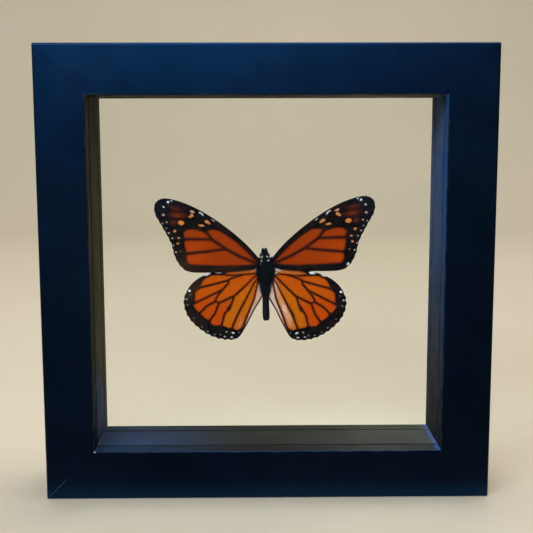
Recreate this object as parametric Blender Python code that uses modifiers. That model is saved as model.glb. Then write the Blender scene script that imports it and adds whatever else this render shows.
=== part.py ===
"""Framed butterfly: a spread butterfly between two panes of glass in a deep black frame.

The frame stands on its lower edge. +Z is up, the front faces -Y, and the origin is on the
surface it stands on, below the middle of the frame.
"""
import math

import bmesh
import bpy
from mathutils import Vector

MM = 0.001

# Frame: outer sizes, the width of a rail's face and the step behind its lip
FRAME_WIDTH = 190 * MM
FRAME_HEIGHT = 192 * MM
FRAME_DEPTH = 38 * MM
RAIL_FACE = 21 * MM
LIP_DEPTH = 7.6 * MM
REBATE = 4 * MM
BEAD_DEPTH = 6.4 * MM
GLASS_THICKNESS = 2 * MM
EDGE_ROUND = 0.8 * MM
FIT_GAP = 0.3 * MM

# Butterfly: where its thorax is, how it sits in the frame, and its thin parts
BUTTERFLY_ACROSS = -0.6 * MM
BUTTERFLY_ABOVE_MIDDLE = 0.7 * MM
THORAX_TO_GLASS = 4.3 * MM
BODY_FLATNESS = 0.85
BODY_LEAN = math.radians(-1.5)
WING_THICKNESS = 0.35 * MM
VEIN_RADIUS = 0.28 * MM
VEIN_STAGGER = 0.006 * MM
VEIN_OVERLAP = 0.2 * MM
FOREWING_FORWARD = 1.0 * MM
HINDWING_FORWARD = 0.05 * MM
WING_LIFT = math.radians(1.5)
WING_CLEARANCE = 0.3 * MM
FOREWING_SWEEP = math.radians(0.55)
HINDWING_SWEEP = math.radians(-0.7)
LEG_RADIUS = 0.2 * MM
GLUE_RADIUS = 1.6 * MM
GLUE_THICKNESS = 0.5 * MM

# Depths from front to back, with the front face at -FRAME_DEPTH / 2
FRONT_FACE = -FRAME_DEPTH / 2
BACK_FACE = FRAME_DEPTH / 2
LIP_END = FRONT_FACE + LIP_DEPTH
FRONT_GLASS_Y = LIP_END + FIT_GAP
BEAD_START = BACK_FACE - BEAD_DEPTH
BACK_GLASS_Y = BEAD_START - FIT_GAP - GLASS_THICKNESS
SPACER_START = FRONT_GLASS_Y + GLASS_THICKNESS + FIT_GAP
SPACER_END = BACK_GLASS_Y - FIT_GAP

# Half width of the body against height above the thorax centre, in mm, from palps to tail
BODY_PROFILE = (
    (0.0, 7.2), (1.0, 7.0), (1.65, 6.2), (1.95, 5.2), (1.8, 4.4), (2.7, 3.6), (3.4, 2.3), (3.7, 0.4),
    (3.7, -1.8), (3.55, -3.6), (3.3, -5.4), (2.75, -7.2), (2.15, -9.3), (1.6, -11.6), (1.2, -13.2),
    (1.25, -16.5), (1.3, -20.0), (1.2, -22.6), (0.8, -23.5), (0.0, -23.7),
)

# Wing outlines in mm from the thorax centre, for a right wing seen from the front
FOREWING_OUTLINE = (
    (2.4, 3.6), (8.9, 11.3), (18.5, 19.5), (28.0, 25.8), (36.6, 29.8), (43.7, 31.4), (47.6, 29.4),
    (48.0, 24.8), (44.6, 18.2), (41.4, 11.8), (39.9, 6.0), (37.2, 1.2), (32.6, -1.3), (20.0, -1.5),
    (10.0, -1.0), (2.4, 0.6),
)
HINDWING_OUTLINE = (
    (1.6, -1.2), (12.0, -0.6), (19.0, -1.1), (25.0, -2.6), (30.3, -5.3), (34.0, -9.2), (35.8, -14.5),
    (34.6, -20.8), (30.4, -26.0), (24.0, -30.5), (17.2, -32.4), (12.0, -31.6), (8.4, -26.3), (4.6, -18.8),
    (1.4, -13.0), (0.8, -7.5),
)

# Main veins in mm, each from the wing's base outwards
FOREWING_VEINS = {
    "radius": ((3.0, 3.4), (12.0, 11.9), (20.0, 18.0), (28.0, 22.6), (37.5, 26.6), (45.5, 28.6)),
    "cubitus": ((2.6, 2.0), (11.6, 5.6), (17.9, 8.8), (23.4, 13.1), (25.9, 16.6), (28.0, 22.6)),
    "outer_cubital": ((23.4, 13.1), (34.0, 13.2), (40.8, 13.3)),
    "inner_cubital": ((17.9, 8.8), (34.4, 7.0), (39.3, 6.8)),
    "media": ((25.9, 16.6), (31.5, 18.4), (37.0, 18.6), (43.8, 18.8)),
    "anal": ((2.6, 1.2), (20.0, -0.2), (37.0, 2.0)),
}
HINDWING_VEINS = {
    "subcosta": ((2.4, -2.8), (9.5, -2.9), (13.8, -3.6), (23.4, -3.2), (31.0, -6.4)),
    "radial_sector": ((9.5, -2.9), (15.0, -4.7), (27.2, -8.5), (34.5, -10.6)),
    "media": ((15.0, -4.7), (18.8, -9.7), (30.8, -15.7), (35.2, -17.8)),
    "cell_end": ((18.8, -9.7), (21.9, -14.9), (20.2, -15.7)),
    "outer_media": ((21.9, -14.9), (25.8, -17.1), (32.3, -23.6)),
    "cubitus": ((2.2, -2.8), (10.2, -9.4), (13.8, -12.8), (20.2, -15.7)),
    "outer_cubital": ((20.2, -15.7), (24.6, -24.1), (26.2, -28.8)),
    "inner_cubital": ((13.8, -12.8), (16.2, -18.3), (19.0, -25.6), (20.4, -31.2)),
    "second_anal": ((2.2, -3.6), (9.2, -15.4), (14.6, -27.0), (15.4, -31.8)),
    "third_anal": ((1.8, -4.6), (5.4, -15.4), (9.3, -25.8), (11.4, -30.6)),
}

# Legs, for the right side: points in mm across, back from the body's axis, and up
LEG_PATHS = {
    "mid": ((1.4, 2.0, 2.4), (2.7, 2.75, 0.6), (2.3, 3.0, -2.6), (1.5, 3.1, -5.6), (1.7, 2.9, -8.2)),
    "hind": ((1.2, 2.0, -0.6), (2.0, 2.9, -3.4), (0.7, 3.15, -6.6), (0.6, 3.0, -10.4), (0.9, 2.7, -12.8)),
}
TEGULA_RADII = (0.8, 0.6, 1.3)
TEGULA_CENTRE = (2.65, -1.0, 3.8)
TEGULA_TILT = 0.5
TONGUE_COIL_RADIUS = 0.75 * MM
TONGUE_RADIUS = 0.2 * MM

SIDES = {"left": -1, "right": 1}
RAIL_TURNS = {"top": 0, "right": 90, "bottom": 180, "left": 270}


def new_collection(name):
    collection = bpy.data.collections.new(name)
    bpy.context.scene.collection.children.link(collection)
    return collection


def new_material(name, color, roughness, metallic=0.0, transmission=0.0):
    material = bpy.data.materials.new(name)
    material.use_nodes = True
    shader = material.node_tree.nodes["Principled BSDF"]
    shader.inputs["Base Color"].default_value = (*color, 1.0)
    shader.inputs["Roughness"].default_value = roughness
    shader.inputs["Metallic"].default_value = metallic
    shader.inputs["Transmission Weight"].default_value = transmission
    material.diffuse_color = (*color, 1.0)
    return material


def new_object(name, data, collection, material=None):
    item = bpy.data.objects.new(name, data)
    collection.objects.link(item)
    if material is not None:
        item.data.materials.clear()
        item.data.materials.append(material)
    return item


def mesh_from(name, shape):
    mesh = bpy.data.meshes.new(name)
    bmesh.ops.recalc_face_normals(shape, faces=shape.faces)
    shape.to_mesh(mesh)
    shape.free()
    return mesh


def as_guide(item):
    """Mark a cutter or a shape that is fused into another one."""
    item.hide_render = True
    item.display_type = "WIRE"


def combine(item, other, operation):
    as_guide(other)
    change = item.modifiers.new(f"{operation.title()} {other.name}", "BOOLEAN")
    change.operation = operation
    change.object = other
    change.solver = "EXACT"


def combine_all(item, others, guides):
    """Fuse several shapes that also cross each other into one solid, in one step."""
    group = bpy.data.collections.new(f"{item.name}_additions")
    guides.children.link(group)
    for other in others:
        guides.objects.unlink(other)
        group.objects.link(other)
        as_guide(other)
    change = item.modifiers.new("Union", "BOOLEAN")
    change.operation = "UNION"
    change.operand_type = "COLLECTION"
    change.collection = group
    change.solver = "EXACT"


def curve_to_mesh(item, collection):
    """Replace a curve object with the closed mesh it draws, in the same place."""
    bpy.context.view_layer.update()
    evaluated = item.evaluated_get(bpy.context.evaluated_depsgraph_get())
    mesh = bpy.data.meshes.new_from_object(evaluated)
    shape = bmesh.new()
    shape.from_mesh(mesh)
    bmesh.ops.remove_doubles(shape, verts=shape.verts, dist=0.00001)
    bmesh.ops.recalc_face_normals(shape, faces=shape.faces)
    shape.to_mesh(mesh)
    shape.free()
    name = item.name
    material = item.data.materials[0] if item.data.materials else None
    matrix = item.matrix_world.copy()
    bpy.data.objects.remove(item)
    result = new_object(name, mesh, collection, material)
    result.matrix_world = matrix
    return result


def box(name, size, centre, collection, material=None):
    shape = bmesh.new()
    bmesh.ops.create_cube(shape, size=1.0)
    bmesh.ops.scale(shape, vec=size, verts=shape.verts)
    item = new_object(name, mesh_from(name, shape), collection, material)
    item.location = centre
    return item


def mitred_bar(side, name, inset, face, front, back, collection, material):
    """One side of a rectangular ring, cut at 45 degrees at both ends.

    inset is how far the ring's outer edge lies inside the frame's outer edge.
    """
    upright = side in ("left", "right")
    reach = (FRAME_WIDTH if upright else FRAME_HEIGHT) / 2 - inset
    half_length = (FRAME_HEIGHT if upright else FRAME_WIDTH) / 2 - inset - FIT_GAP * math.sqrt(0.5)
    shape = bmesh.new()
    bmesh.ops.create_cube(shape, size=1.0)
    rounded = shape.edges.layers.float.new("bevel_weight_edge")
    for corner in shape.verts:
        inner = corner.co.z < 0
        end = half_length - face if inner else half_length
        corner.co.x = math.copysign(end, corner.co.x)
        corner.co.y = front if corner.co.y < 0 else back
        corner.co.z = -face if inner else 0.0
    for edge in shape.edges:
        ends = edge.verts
        runs_along = abs(ends[0].co.z - ends[1].co.z) < 1e-9 and abs(ends[0].co.y - ends[1].co.y) < 1e-9
        edge[rounded] = 1.0 if runs_along else 0.0
    bar = new_object(name, mesh_from(name, shape), collection, material)
    turn = math.radians(RAIL_TURNS[side])
    bar.rotation_euler = (0.0, turn, 0.0)
    bar.location = (math.sin(turn) * reach, 0.0, FRAME_HEIGHT / 2 + math.cos(turn) * reach)
    return bar


def round_long_edges(bar, width):
    bevel = bar.modifiers.new("Rounded edges", "BEVEL")
    bevel.limit_method = "WEIGHT"
    bevel.width = width
    bevel.segments = 3


def make_rail(side, parts, guides, material):
    rail = mitred_bar(side, f"rail_{side}", 0.0, RAIL_FACE, FRONT_FACE, BACK_FACE, parts, material)
    round_long_edges(rail, EDGE_ROUND)
    spare = 2 * MM
    depth = BACK_FACE - LIP_END + spare
    cutter = box(f"rebate_cutter_{side}", (FRAME_HEIGHT + 2 * spare, depth, REBATE + spare), (0, 0, 0), guides)
    cutter.rotation_euler = rail.rotation_euler
    turn = math.radians(RAIL_TURNS[side])
    half_frame = (FRAME_WIDTH if side in ("left", "right") else FRAME_HEIGHT) / 2
    reach = half_frame - RAIL_FACE + REBATE - (REBATE + spare) / 2
    cutter.location = (math.sin(turn) * reach, LIP_END + depth / 2, FRAME_HEIGHT / 2 + math.cos(turn) * reach)
    combine(rail, cutter, "DIFFERENCE")
    return rail


def make_strip(side, kind, front, back, parts, material):
    """A spacer or a bead: it fills the rebate and lies flush with the lip."""
    inset = RAIL_FACE - REBATE + FIT_GAP
    strip = mitred_bar(side, f"{kind}_{side}", inset, REBATE - FIT_GAP, front, back, parts, material)
    round_long_edges(strip, EDGE_ROUND / 4)
    return strip


def make_pane(name, front, parts, material):
    width = FRAME_WIDTH - 2 * (RAIL_FACE - REBATE + FIT_GAP)
    height = FRAME_HEIGHT - 2 * (RAIL_FACE - REBATE + FIT_GAP)
    centre = (0.0, front + GLASS_THICKNESS / 2, FRAME_HEIGHT / 2)
    return box(name, (width, GLASS_THICKNESS, height), centre, parts, material)


def turned_body(name, extra, collection, material=None):
    """The body as a turned shape, wider than it is deep. extra is added to its radius."""
    mesh = bpy.data.meshes.new(name)
    points = [(radius * MM + (extra if radius else 0.0), 0.0, height * MM) for radius, height in BODY_PROFILE]
    points[0] = (0.0, 0.0, points[0][2] + extra)
    points[-1] = (0.0, 0.0, points[-1][2] - extra)
    mesh.from_pydata(points, [(i, i + 1) for i in range(len(points) - 1)], [])
    item = new_object(name, mesh, collection, material)
    screw = item.modifiers.new("Turned", "SCREW")
    screw.steps = 20
    screw.render_steps = 20
    screw.use_merge_vertices = True
    screw.merge_threshold = 0.00001
    item.scale.y = BODY_FLATNESS
    return item


def ellipsoid(name, radii, centre, collection, tilt=0.0):
    shape = bmesh.new()
    bmesh.ops.create_uvsphere(shape, u_segments=12, v_segments=8, radius=1.0)
    bmesh.ops.scale(shape, vec=[radius * MM for radius in radii], verts=shape.verts)
    item = new_object(name, mesh_from(name, shape), collection)
    item.location = [value * MM for value in centre]
    item.rotation_euler.y = tilt
    return item


def tube(name, points, radius, collection, tip=1.0):
    """A thin round stem through points in metres, narrowing to tip times its radius."""
    curve = bpy.data.curves.new(name, "CURVE")
    curve.dimensions = "3D"
    curve.bevel_depth = radius
    curve.bevel_resolution = 0
    curve.use_fill_caps = True
    spline = curve.splines.new("POLY")
    spline.points.add(len(points) - 1)
    for index, (point, place) in enumerate(zip(spline.points, points)):
        point.co = (*place, 1.0)
        point.radius = 1.0 + (tip - 1.0) * index / (len(points) - 1)
    return curve_to_mesh(new_object(name, curve, collection), collection)


def tegula(name, sign, extra, collection):
    """The small scale-covered lobe over the root of a forewing."""
    radii = [radius + extra / MM for radius in TEGULA_RADII]
    centre = (sign * TEGULA_CENTRE[0], *TEGULA_CENTRE[1:])
    return ellipsoid(name, radii, centre, collection, sign * TEGULA_TILT)


def make_body(holder, parts, guides, material):
    body = turned_body("body", 0.0, parts, material)
    body.parent = holder
    additions = []
    for side, sign in SIDES.items():
        additions.append(ellipsoid(f"eye_{side}", (1.0, 1.15, 1.2), (sign * 1.25, 0.2, 5.5), guides))
        additions.append(ellipsoid(f"palp_{side}", (0.55, 0.7, 1.5), (sign * 0.62, 0.0, 7.3), guides, sign * 0.08))
        additions.append(tegula(f"tegula_{side}", sign, 0.0, guides))
        for pair, path in LEG_PATHS.items():
            points = [(sign * across * MM, back * MM, up * MM) for across, back, up in path]
            additions.append(tube(f"leg_{pair}_{side}", points, LEG_RADIUS, guides, 0.6))
    coil = []
    for step in range(13):
        angle = math.radians(-60 + 30 * step)
        reach = TONGUE_COIL_RADIUS * (1.0 - 0.035 * step)
        coil.append((0.0, 1.55 * MM + reach * math.cos(angle), 6.1 * MM + reach * math.sin(angle)))
    additions.append(tube("tongue", coil[:11], TONGUE_RADIUS, guides, 0.7))
    for addition in additions:
        addition.parent = holder
        combine(body, addition, "UNION")
    return body


def wing_plate(name, outline, sign, collection, material):
    """A flat wing: a closed smooth outline filled on both faces, in its own XY plane."""
    curve = bpy.data.curves.new(name, "CURVE")
    curve.dimensions = "2D"
    curve.fill_mode = "BOTH"
    curve.extrude = WING_THICKNESS / 2
    curve.resolution_u = 4
    spline = curve.splines.new("BEZIER")
    spline.bezier_points.add(len(outline) - 1)
    for point, (across, up) in zip(spline.bezier_points, outline):
        point.co = (sign * across * MM, up * MM, 0.0)
        point.handle_left_type = "AUTO"
        point.handle_right_type = "AUTO"
    spline.use_cyclic_u = True
    return curve_to_mesh(new_object(name, curve, collection, material), collection)


def make_wing(name, outline, veins, side, forward, sweep, holder, clearances, parts, guides, material):
    sign = SIDES[side]
    wing = wing_plate(name, outline, sign, parts, material)
    placement = {
        "location": Vector((0.0, -forward, 0.0)),
        "rotation_euler": (math.radians(90), -sweep, sign * -WING_LIFT),
    }
    pieces = [wing]
    for order, (vein, path) in enumerate(veins.items()):
        height = VEIN_STAGGER * (order - len(veins) / 2)
        points = [Vector((sign * across * MM, up * MM, height)) for across, up in path]
        points[0] -= (points[1] - points[0]).normalized() * VEIN_OVERLAP
        pieces.append(tube(f"{name}_{vein}", points, VEIN_RADIUS - VEIN_STAGGER * order, guides, 0.85))
    for piece in pieces:
        piece.parent = holder
        piece.location = placement["location"]
        piece.rotation_euler = placement["rotation_euler"]
    combine_all(wing, pieces[1:], guides)
    for clearance in clearances:
        combine(wing, clearance, "DIFFERENCE")
    return wing


def make_glue_dot(holder, parts, material):
    shape = bmesh.new()
    bmesh.ops.create_cone(shape, cap_ends=True, segments=24, radius1=GLUE_RADIUS, radius2=GLUE_RADIUS * 0.8,
                          depth=GLUE_THICKNESS)
    dot = new_object("glue_dot", mesh_from("glue_dot", shape), parts, material)
    dot.parent = holder
    dot.rotation_euler.x = math.radians(90)
    dot.location.y = THORAX_TO_GLASS - FIT_GAP - GLUE_THICKNESS / 2
    return dot


def main():
    for item in list(bpy.data.objects):
        bpy.data.objects.remove(item)
    parts = new_collection("framed_butterfly")
    guides = new_collection("cutters")

    black_paint = new_material("black satin paint", (0.012, 0.016, 0.024), 0.38)
    inner_paint = new_material("black inner paint", (0.02, 0.022, 0.024), 0.5)
    clear_glass = new_material("clear glass", (0.95, 0.97, 0.96), 0.02, transmission=1.0)
    dark_hair = new_material("dark body hair", (0.012, 0.014, 0.018), 0.8)
    orange_scales = new_material("orange wing scales", (0.50, 0.12, 0.01), 0.6)
    clear_glue = new_material("clear adhesive", (0.85, 0.83, 0.75), 0.2, transmission=0.9)

    for side in RAIL_TURNS:
        make_rail(side, parts, guides, black_paint)
        make_strip(side, "spacer", SPACER_START, SPACER_END, parts, inner_paint)
        make_strip(side, "bead", BEAD_START, BACK_FACE, parts, inner_paint)
    make_pane("front_glass", FRONT_GLASS_Y, parts, clear_glass)
    make_pane("back_glass", BACK_GLASS_Y, parts, clear_glass)

    holder = bpy.data.objects.new("butterfly_centre", None)
    parts.objects.link(holder)
    holder.location = (BUTTERFLY_ACROSS, BACK_GLASS_Y - THORAX_TO_GLASS, FRAME_HEIGHT / 2 + BUTTERFLY_ABOVE_MIDDLE)
    bpy.context.view_layer.update()

    lean = bpy.data.objects.new("body_axis", None)
    parts.objects.link(lean)
    lean.parent = holder
    lean.rotation_euler.y = BODY_LEAN
    bpy.context.view_layer.update()

    make_body(lean, parts, guides, dark_hair)
    body_clearance = turned_body("body_clearance", WING_CLEARANCE, guides)
    body_clearance.parent = lean
    for side, sign in SIDES.items():
        lobe_clearance = tegula(f"lobe_clearance_{side}", sign, WING_CLEARANCE, guides)
        lobe_clearance.parent = lean
        make_wing(f"forewing_{side}", FOREWING_OUTLINE, FOREWING_VEINS, side, FOREWING_FORWARD,
                  FOREWING_SWEEP, holder, (body_clearance, lobe_clearance), parts, guides, orange_scales)
        make_wing(f"hindwing_{side}", HINDWING_OUTLINE, HINDWING_VEINS, side, HINDWING_FORWARD,
                  HINDWING_SWEEP, holder, (body_clearance,), parts, guides, orange_scales)
    make_glue_dot(holder, parts, clear_glue)
    bpy.context.view_layer.update()


main()
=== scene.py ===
"""Framed butterfly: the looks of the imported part.

A spread orange and black butterfly stands between two panes of glass in a deep, satin black
wooden frame. The script remodels the wood with its paint, gives the panes their glass, and builds
the wings, the hairy body and the stage. +Z is up, the front faces -Y, and lengths are in metres
unless a name or comment says millimetres.
"""
import math
import random
from collections import namedtuple

import bmesh
import bpy
import numpy as np
from bpy.props import FloatProperty, FloatVectorProperty, IntProperty, PointerProperty
from mathutils import Euler, Matrix, Vector


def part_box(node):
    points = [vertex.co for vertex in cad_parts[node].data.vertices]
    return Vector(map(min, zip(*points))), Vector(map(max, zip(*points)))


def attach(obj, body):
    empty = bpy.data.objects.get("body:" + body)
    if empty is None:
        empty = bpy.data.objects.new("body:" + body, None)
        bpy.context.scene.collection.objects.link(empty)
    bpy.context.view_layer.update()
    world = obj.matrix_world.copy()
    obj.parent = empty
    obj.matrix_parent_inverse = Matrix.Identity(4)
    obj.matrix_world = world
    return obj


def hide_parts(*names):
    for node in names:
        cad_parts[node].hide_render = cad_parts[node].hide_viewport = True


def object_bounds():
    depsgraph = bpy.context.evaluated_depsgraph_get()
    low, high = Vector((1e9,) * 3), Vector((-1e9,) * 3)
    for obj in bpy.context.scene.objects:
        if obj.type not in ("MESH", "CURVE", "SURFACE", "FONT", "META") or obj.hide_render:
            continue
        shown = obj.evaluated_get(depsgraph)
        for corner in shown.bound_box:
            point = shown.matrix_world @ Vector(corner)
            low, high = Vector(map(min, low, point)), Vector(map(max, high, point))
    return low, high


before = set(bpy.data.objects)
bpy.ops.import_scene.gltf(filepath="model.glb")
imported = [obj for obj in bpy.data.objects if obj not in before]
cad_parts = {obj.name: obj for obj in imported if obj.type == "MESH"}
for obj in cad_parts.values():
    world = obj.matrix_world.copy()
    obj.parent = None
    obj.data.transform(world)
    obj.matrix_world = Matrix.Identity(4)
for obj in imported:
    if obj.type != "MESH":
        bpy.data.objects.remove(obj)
CAD_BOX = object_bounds()

bl_info = {
    "name": "Framed Butterfly",
    "version": (1, 0, 0),
    "blender": (4, 5, 0),
    "location": "View3D > Sidebar > Butterfly",
    "description": "Models and finishes a butterfly in a deep black frame",
    "category": "Add Mesh",
}

MM = 0.001

# The frame's own sizes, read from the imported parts
FIT_GAP = 0.3 * MM
LOW, HIGH = CAD_BOX
FRAME_SIZE = HIGH - LOW
MIDDLE = (HIGH + LOW) / 2
RAIL_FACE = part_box("rail_left")[1].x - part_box("rail_left")[0].x
LIP_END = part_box("front_glass")[0].y - FIT_GAP
BACK_GLASS_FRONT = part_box("back_glass")[0].y
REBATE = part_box("front_glass")[1].x + FIT_GAP - (FRAME_SIZE.x / 2 - RAIL_FACE)

# How close the painted pieces come to each other at their mitres and against the panes, how round the
# strips' outer and inner edges are, and how far each side of the frame is turned from the top one
MITRE_GAP = 0.03 * MM
SEAT_GAP = 0.1 * MM
STRIP_ROUNDS = (0.1 * MM, 0.08 * MM)
TURNS = {"top": 0, "right": 90, "bottom": 180, "left": 270}

# The width of the worn edges, the colours of rubbed, filled, chipped and dusty places, and the colour of the
# painted glint along the inner corner joints
WORN_WIDTH = 0.9 * MM
RUBBED_PAINT = (0.045, 0.055, 0.07)
MITRE_FILLER = (0.045, 0.055, 0.065)
BARE_WOOD = (0.24, 0.255, 0.245)
PAINTED_JOINT_GLINT = (0.11, 0.18, 0.34)
DUST = (0.30, 0.28, 0.24)

# The butterfly: its sides, its thorax centre, its lean, and the depth and turn of each pair of wings
SIDES = {"left": -1, "right": 1}
GLUE_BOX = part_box("glue_dot")
THORAX_TO_GLASS = 4.3 * MM
THORAX = Vector((
    (GLUE_BOX[0].x + GLUE_BOX[1].x) / 2,
    BACK_GLASS_FRONT - THORAX_TO_GLASS,
    (GLUE_BOX[0].z + GLUE_BOX[1].z) / 2,
))
BODY_FLATNESS = 0.85
BODY_LEAN = math.radians(-1.5)
WING_LIFT = math.radians(1.5)
WING_DEPTHS = {"forewing": 1.0 * MM, "hindwing": 0.05 * MM}
WING_SWEEPS = {"forewing": math.radians(0.55), "hindwing": math.radians(-0.7)}

# The drop of glue: where it starts and ends, how narrow it is at the thorax and how round
GLUE_FRONT = THORAX.y + 3.0 * MM
GLUE_BACK = BACK_GLASS_FRONT - 0.02 * MM
GLUE_FRONT_SHARE = 0.62
GLUE_ROUND = 0.3 * MM

# Half width of the body against height above the thorax centre, in millimetres
BODY_PROFILE = (
    (0.0, 7.2), (0.9, 7.0), (1.5, 6.2), (1.85, 5.2), (1.8, 4.4), (2.7, 3.6), (3.4, 2.3), (3.65, 0.4),
    (3.65, -1.8), (3.35, -3.6), (2.85, -5.4), (2.2, -7.2), (1.85, -9.3), (1.75, -11.6), (1.4, -13.2),
    (1.4, -16.5), (1.5, -20.0), (1.4, -22.6), (0.95, -23.5), (0.0, -23.7),
)
# Hair grows between these heights, longest on the thorax, between waist and neck
HAIR_SPAN = (-23.6, 7.0)
WAIST = (-9.0, -13.0)
NECK = (3.8, 5.0)
ABDOMEN_HAIR = 0.36
THORAX_HAIR = 1.31
HEAD_HAIR = 0.86
# The legs and the coiled tongue taper from a first value to a last one; the tongue's centre is given
# as its depth and height
LEG_STEPS = 41
LEG_RADII = (0.24, 0.09)
TONGUE_STEPS = 60
TONGUE_TURNS = 2.4
TONGUE_CENTRE = (1.55, 6.1)
TONGUE_REACHES = (0.78, 0.26)
TONGUE_RADII = (0.15, 0.09)
# Eggs on each side of the head and thorax: their radii and, on the right, their places
PALP_RADII = (0.66, 0.75, 1.35)
PALP_CENTRE = (0.58, 0.0, 7.3)
SHOULDER_RADII = (0.8, 0.6, 1.3)
SHOULDER_CENTRE = (2.65, -1.0, 3.8)
EYE_RADII = (1.0, 1.15, 1.2)
EYE_CENTRE = (1.25, 0.2, 5.5)
# The abdomen is ringed below this height, with rings of this length
RINGED_BELOW = -12.5
RING_LENGTH = 1.45
LEG_PATHS = {
    "mid": ((1.4, 2.0, 2.4), (2.7, 2.75, 0.6), (2.3, 3.0, -2.6), (1.5, 3.1, -5.6), (1.7, 2.9, -8.2)),
    "hind": ((1.2, 2.0, -0.6), (2.0, 2.9, -3.4), (0.7, 3.15, -6.6), (0.6, 3.0, -10.4), (0.9, 2.7, -12.8)),
}

# Wing outlines in millimetres from the thorax centre, for a right wing seen from the front. Each
# edge starts at the wing's root, except the outer margin, which runs from the rear corner upwards.
WING_EDGES = {
    "forewing": {
        "leading": ((2.4, 3.6), (8.9, 11.3), (18.5, 19.5), (28.0, 25.8), (36.6, 29.8), (43.7, 31.4),
                    (47.6, 29.4)),
        "outer": ((32.6, -1.3), (37.2, 1.2), (39.9, 6.0), (41.4, 11.8), (44.6, 18.2), (48.0, 24.8),
                  (47.6, 29.4)),
        "trailing": ((2.4, 0.6), (10.0, -1.0), (20.0, -1.5), (32.6, -1.3)),
    },
    "hindwing": {
        "leading": ((1.6, -1.2), (12.0, -0.6), (19.0, -1.1), (25.0, -2.6), (30.3, -5.3), (34.0, -9.2)),
        "outer": ((12.0, -31.6), (17.2, -32.6), (24.1, -30.8), (30.7, -26.3), (34.9, -20.9), (36.2, -14.5),
                  (34.0, -9.2)),
        "trailing": ((0.8, -7.5), (1.4, -13.0), (4.6, -18.8), (8.4, -26.3), (12.0, -31.6)),
    },
}
# The shallow bays of the wings' outer margins, in millimetres
SCALLOP_LENGTH = 3.0
SCALLOP_DEPTHS = {"forewing": 0.22, "hindwing": 0.42}

# Veins in millimetres, each as its half width and its line outwards from the root
Vein = namedtuple("Vein", "half_width line")
WING_VEINS = {
    "forewing": (
        Vein(0.44, ((3.0, 3.4), (12.0, 11.9), (20.0, 18.0), (28.0, 22.6), (37.5, 26.6), (45.5, 28.6))),
        Vein(0.48, ((3.0, 1.9), (4.8, 2.6), (11.6, 5.6), (17.5, 8.9), (23.5, 13.2), (25.9, 16.7),
                    (28.0, 22.6))),
        Vein(0.42, ((23.4, 13.1), (29.0, 13.3), (35.0, 13.35), (41.2, 13.4))),
        Vein(0.42, ((17.5, 8.8), (25.0, 7.8), (34.4, 7.0), (39.9, 6.7))),
        Vein(0.40, ((25.9, 16.7), (31.5, 18.4), (37.0, 18.8), (44.4, 19.0))),
        Vein(0.37, ((28.0, 22.6), (35.0, 22.9), (46.8, 23.2))),
        Vein(0.48, ((2.8, 1.2), (12.0, 0.2), (20.0, -0.2), (37.0, 2.0))),
    ),
    "hindwing": (
        Vein(0.38, ((2.4, -2.8), (4.5, -2.6), (9.5, -2.9), (14.2, -3.4), (19.3, -3.0), (23.6, -2.9),
                    (31.0, -6.4))),
        Vein(0.40, ((9.7, -3.1), (15.0, -4.7), (16.9, -5.8), (27.2, -8.5), (34.5, -10.6))),
        Vein(0.40, ((16.2, -5.6), (16.5, -7.0), (18.8, -9.7), (20.7, -10.7), (30.8, -15.7), (35.2, -17.8))),
        Vein(0.34, ((18.8, -9.7), (21.0, -12.4), (22.3, -14.9), (20.1, -15.8))),
        Vein(0.40, ((21.9, -15.0), (25.8, -17.1), (28.9, -20.3), (32.6, -23.8))),
        Vein(0.43, ((2.2, -2.8), (4.6, -3.7), (10.2, -9.4), (13.6, -12.5), (20.3, -15.7))),
        Vein(0.40, ((20.5, -15.8), (22.1, -20.2), (24.8, -24.1), (26.6, -29.2))),
        Vein(0.38, ((13.9, -13.0), (15.0, -16.3), (16.2, -18.5), (18.0, -20.6), (19.2, -25.6),
                    (20.6, -31.4))),
        Vein(0.40, ((2.2, -3.6), (4.8, -6.5), (9.3, -15.4), (12.4, -21.5), (14.6, -27.0), (15.6, -31.8))),
        Vein(0.38, ((1.9, -4.6), (3.3, -6.3), (4.9, -14.0), (8.0, -21.5), (9.5, -26.0), (11.6, -30.8))),
        Vein(0.36, ((1.5, -13.0), (4.75, -18.8), (8.5, -26.3), (11.4, -30.8))),
    ),
}

# The orange part of each wing in millimetres: inside this line, dark outside it
ORANGE_FIELDS = {
    "forewing": (
        (4.0, 3.1), (7.5, 7.1), (11.9, 11.5), (15.8, 14.7), (19.7, 16.8), (22.5, 17.4), (25.2, 17.0),
        (26.0, 16.4), (27.0, 16.8), (28.6, 17.6), (31.5, 18.1), (34.3, 17.5), (35.8, 16.2), (35.2, 13.6),
        (35.5, 11.5), (34.9, 8.2), (34.6, 6.5), (34.7, 4.3), (33.9, 2.3), (32.6, 1.6), (24.5, 1.6),
        (14.0, 1.2), (7.5, 1.5), (3.4, 2.0),
    ),
    "hindwing": (
        (1.6, -0.9), (12.0, -0.4), (15.5, -1.2), (19.0, -2.8), (24.0, -2.9), (26.5, -4.2), (28.5, -7.7),
        (31.0, -11.5), (31.0, -14.2), (32.0, -16.8), (29.5, -20.2), (25.0, -23.9), (22.7, -26.0),
        (19.5, -26.0), (15.0, -27.4), (12.2, -28.0), (10.4, -27.2), (9.6, -29.2), (4.6, -20.4),
        (0.2, -13.0), (0.0, -5.0),
    ),
}

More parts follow.
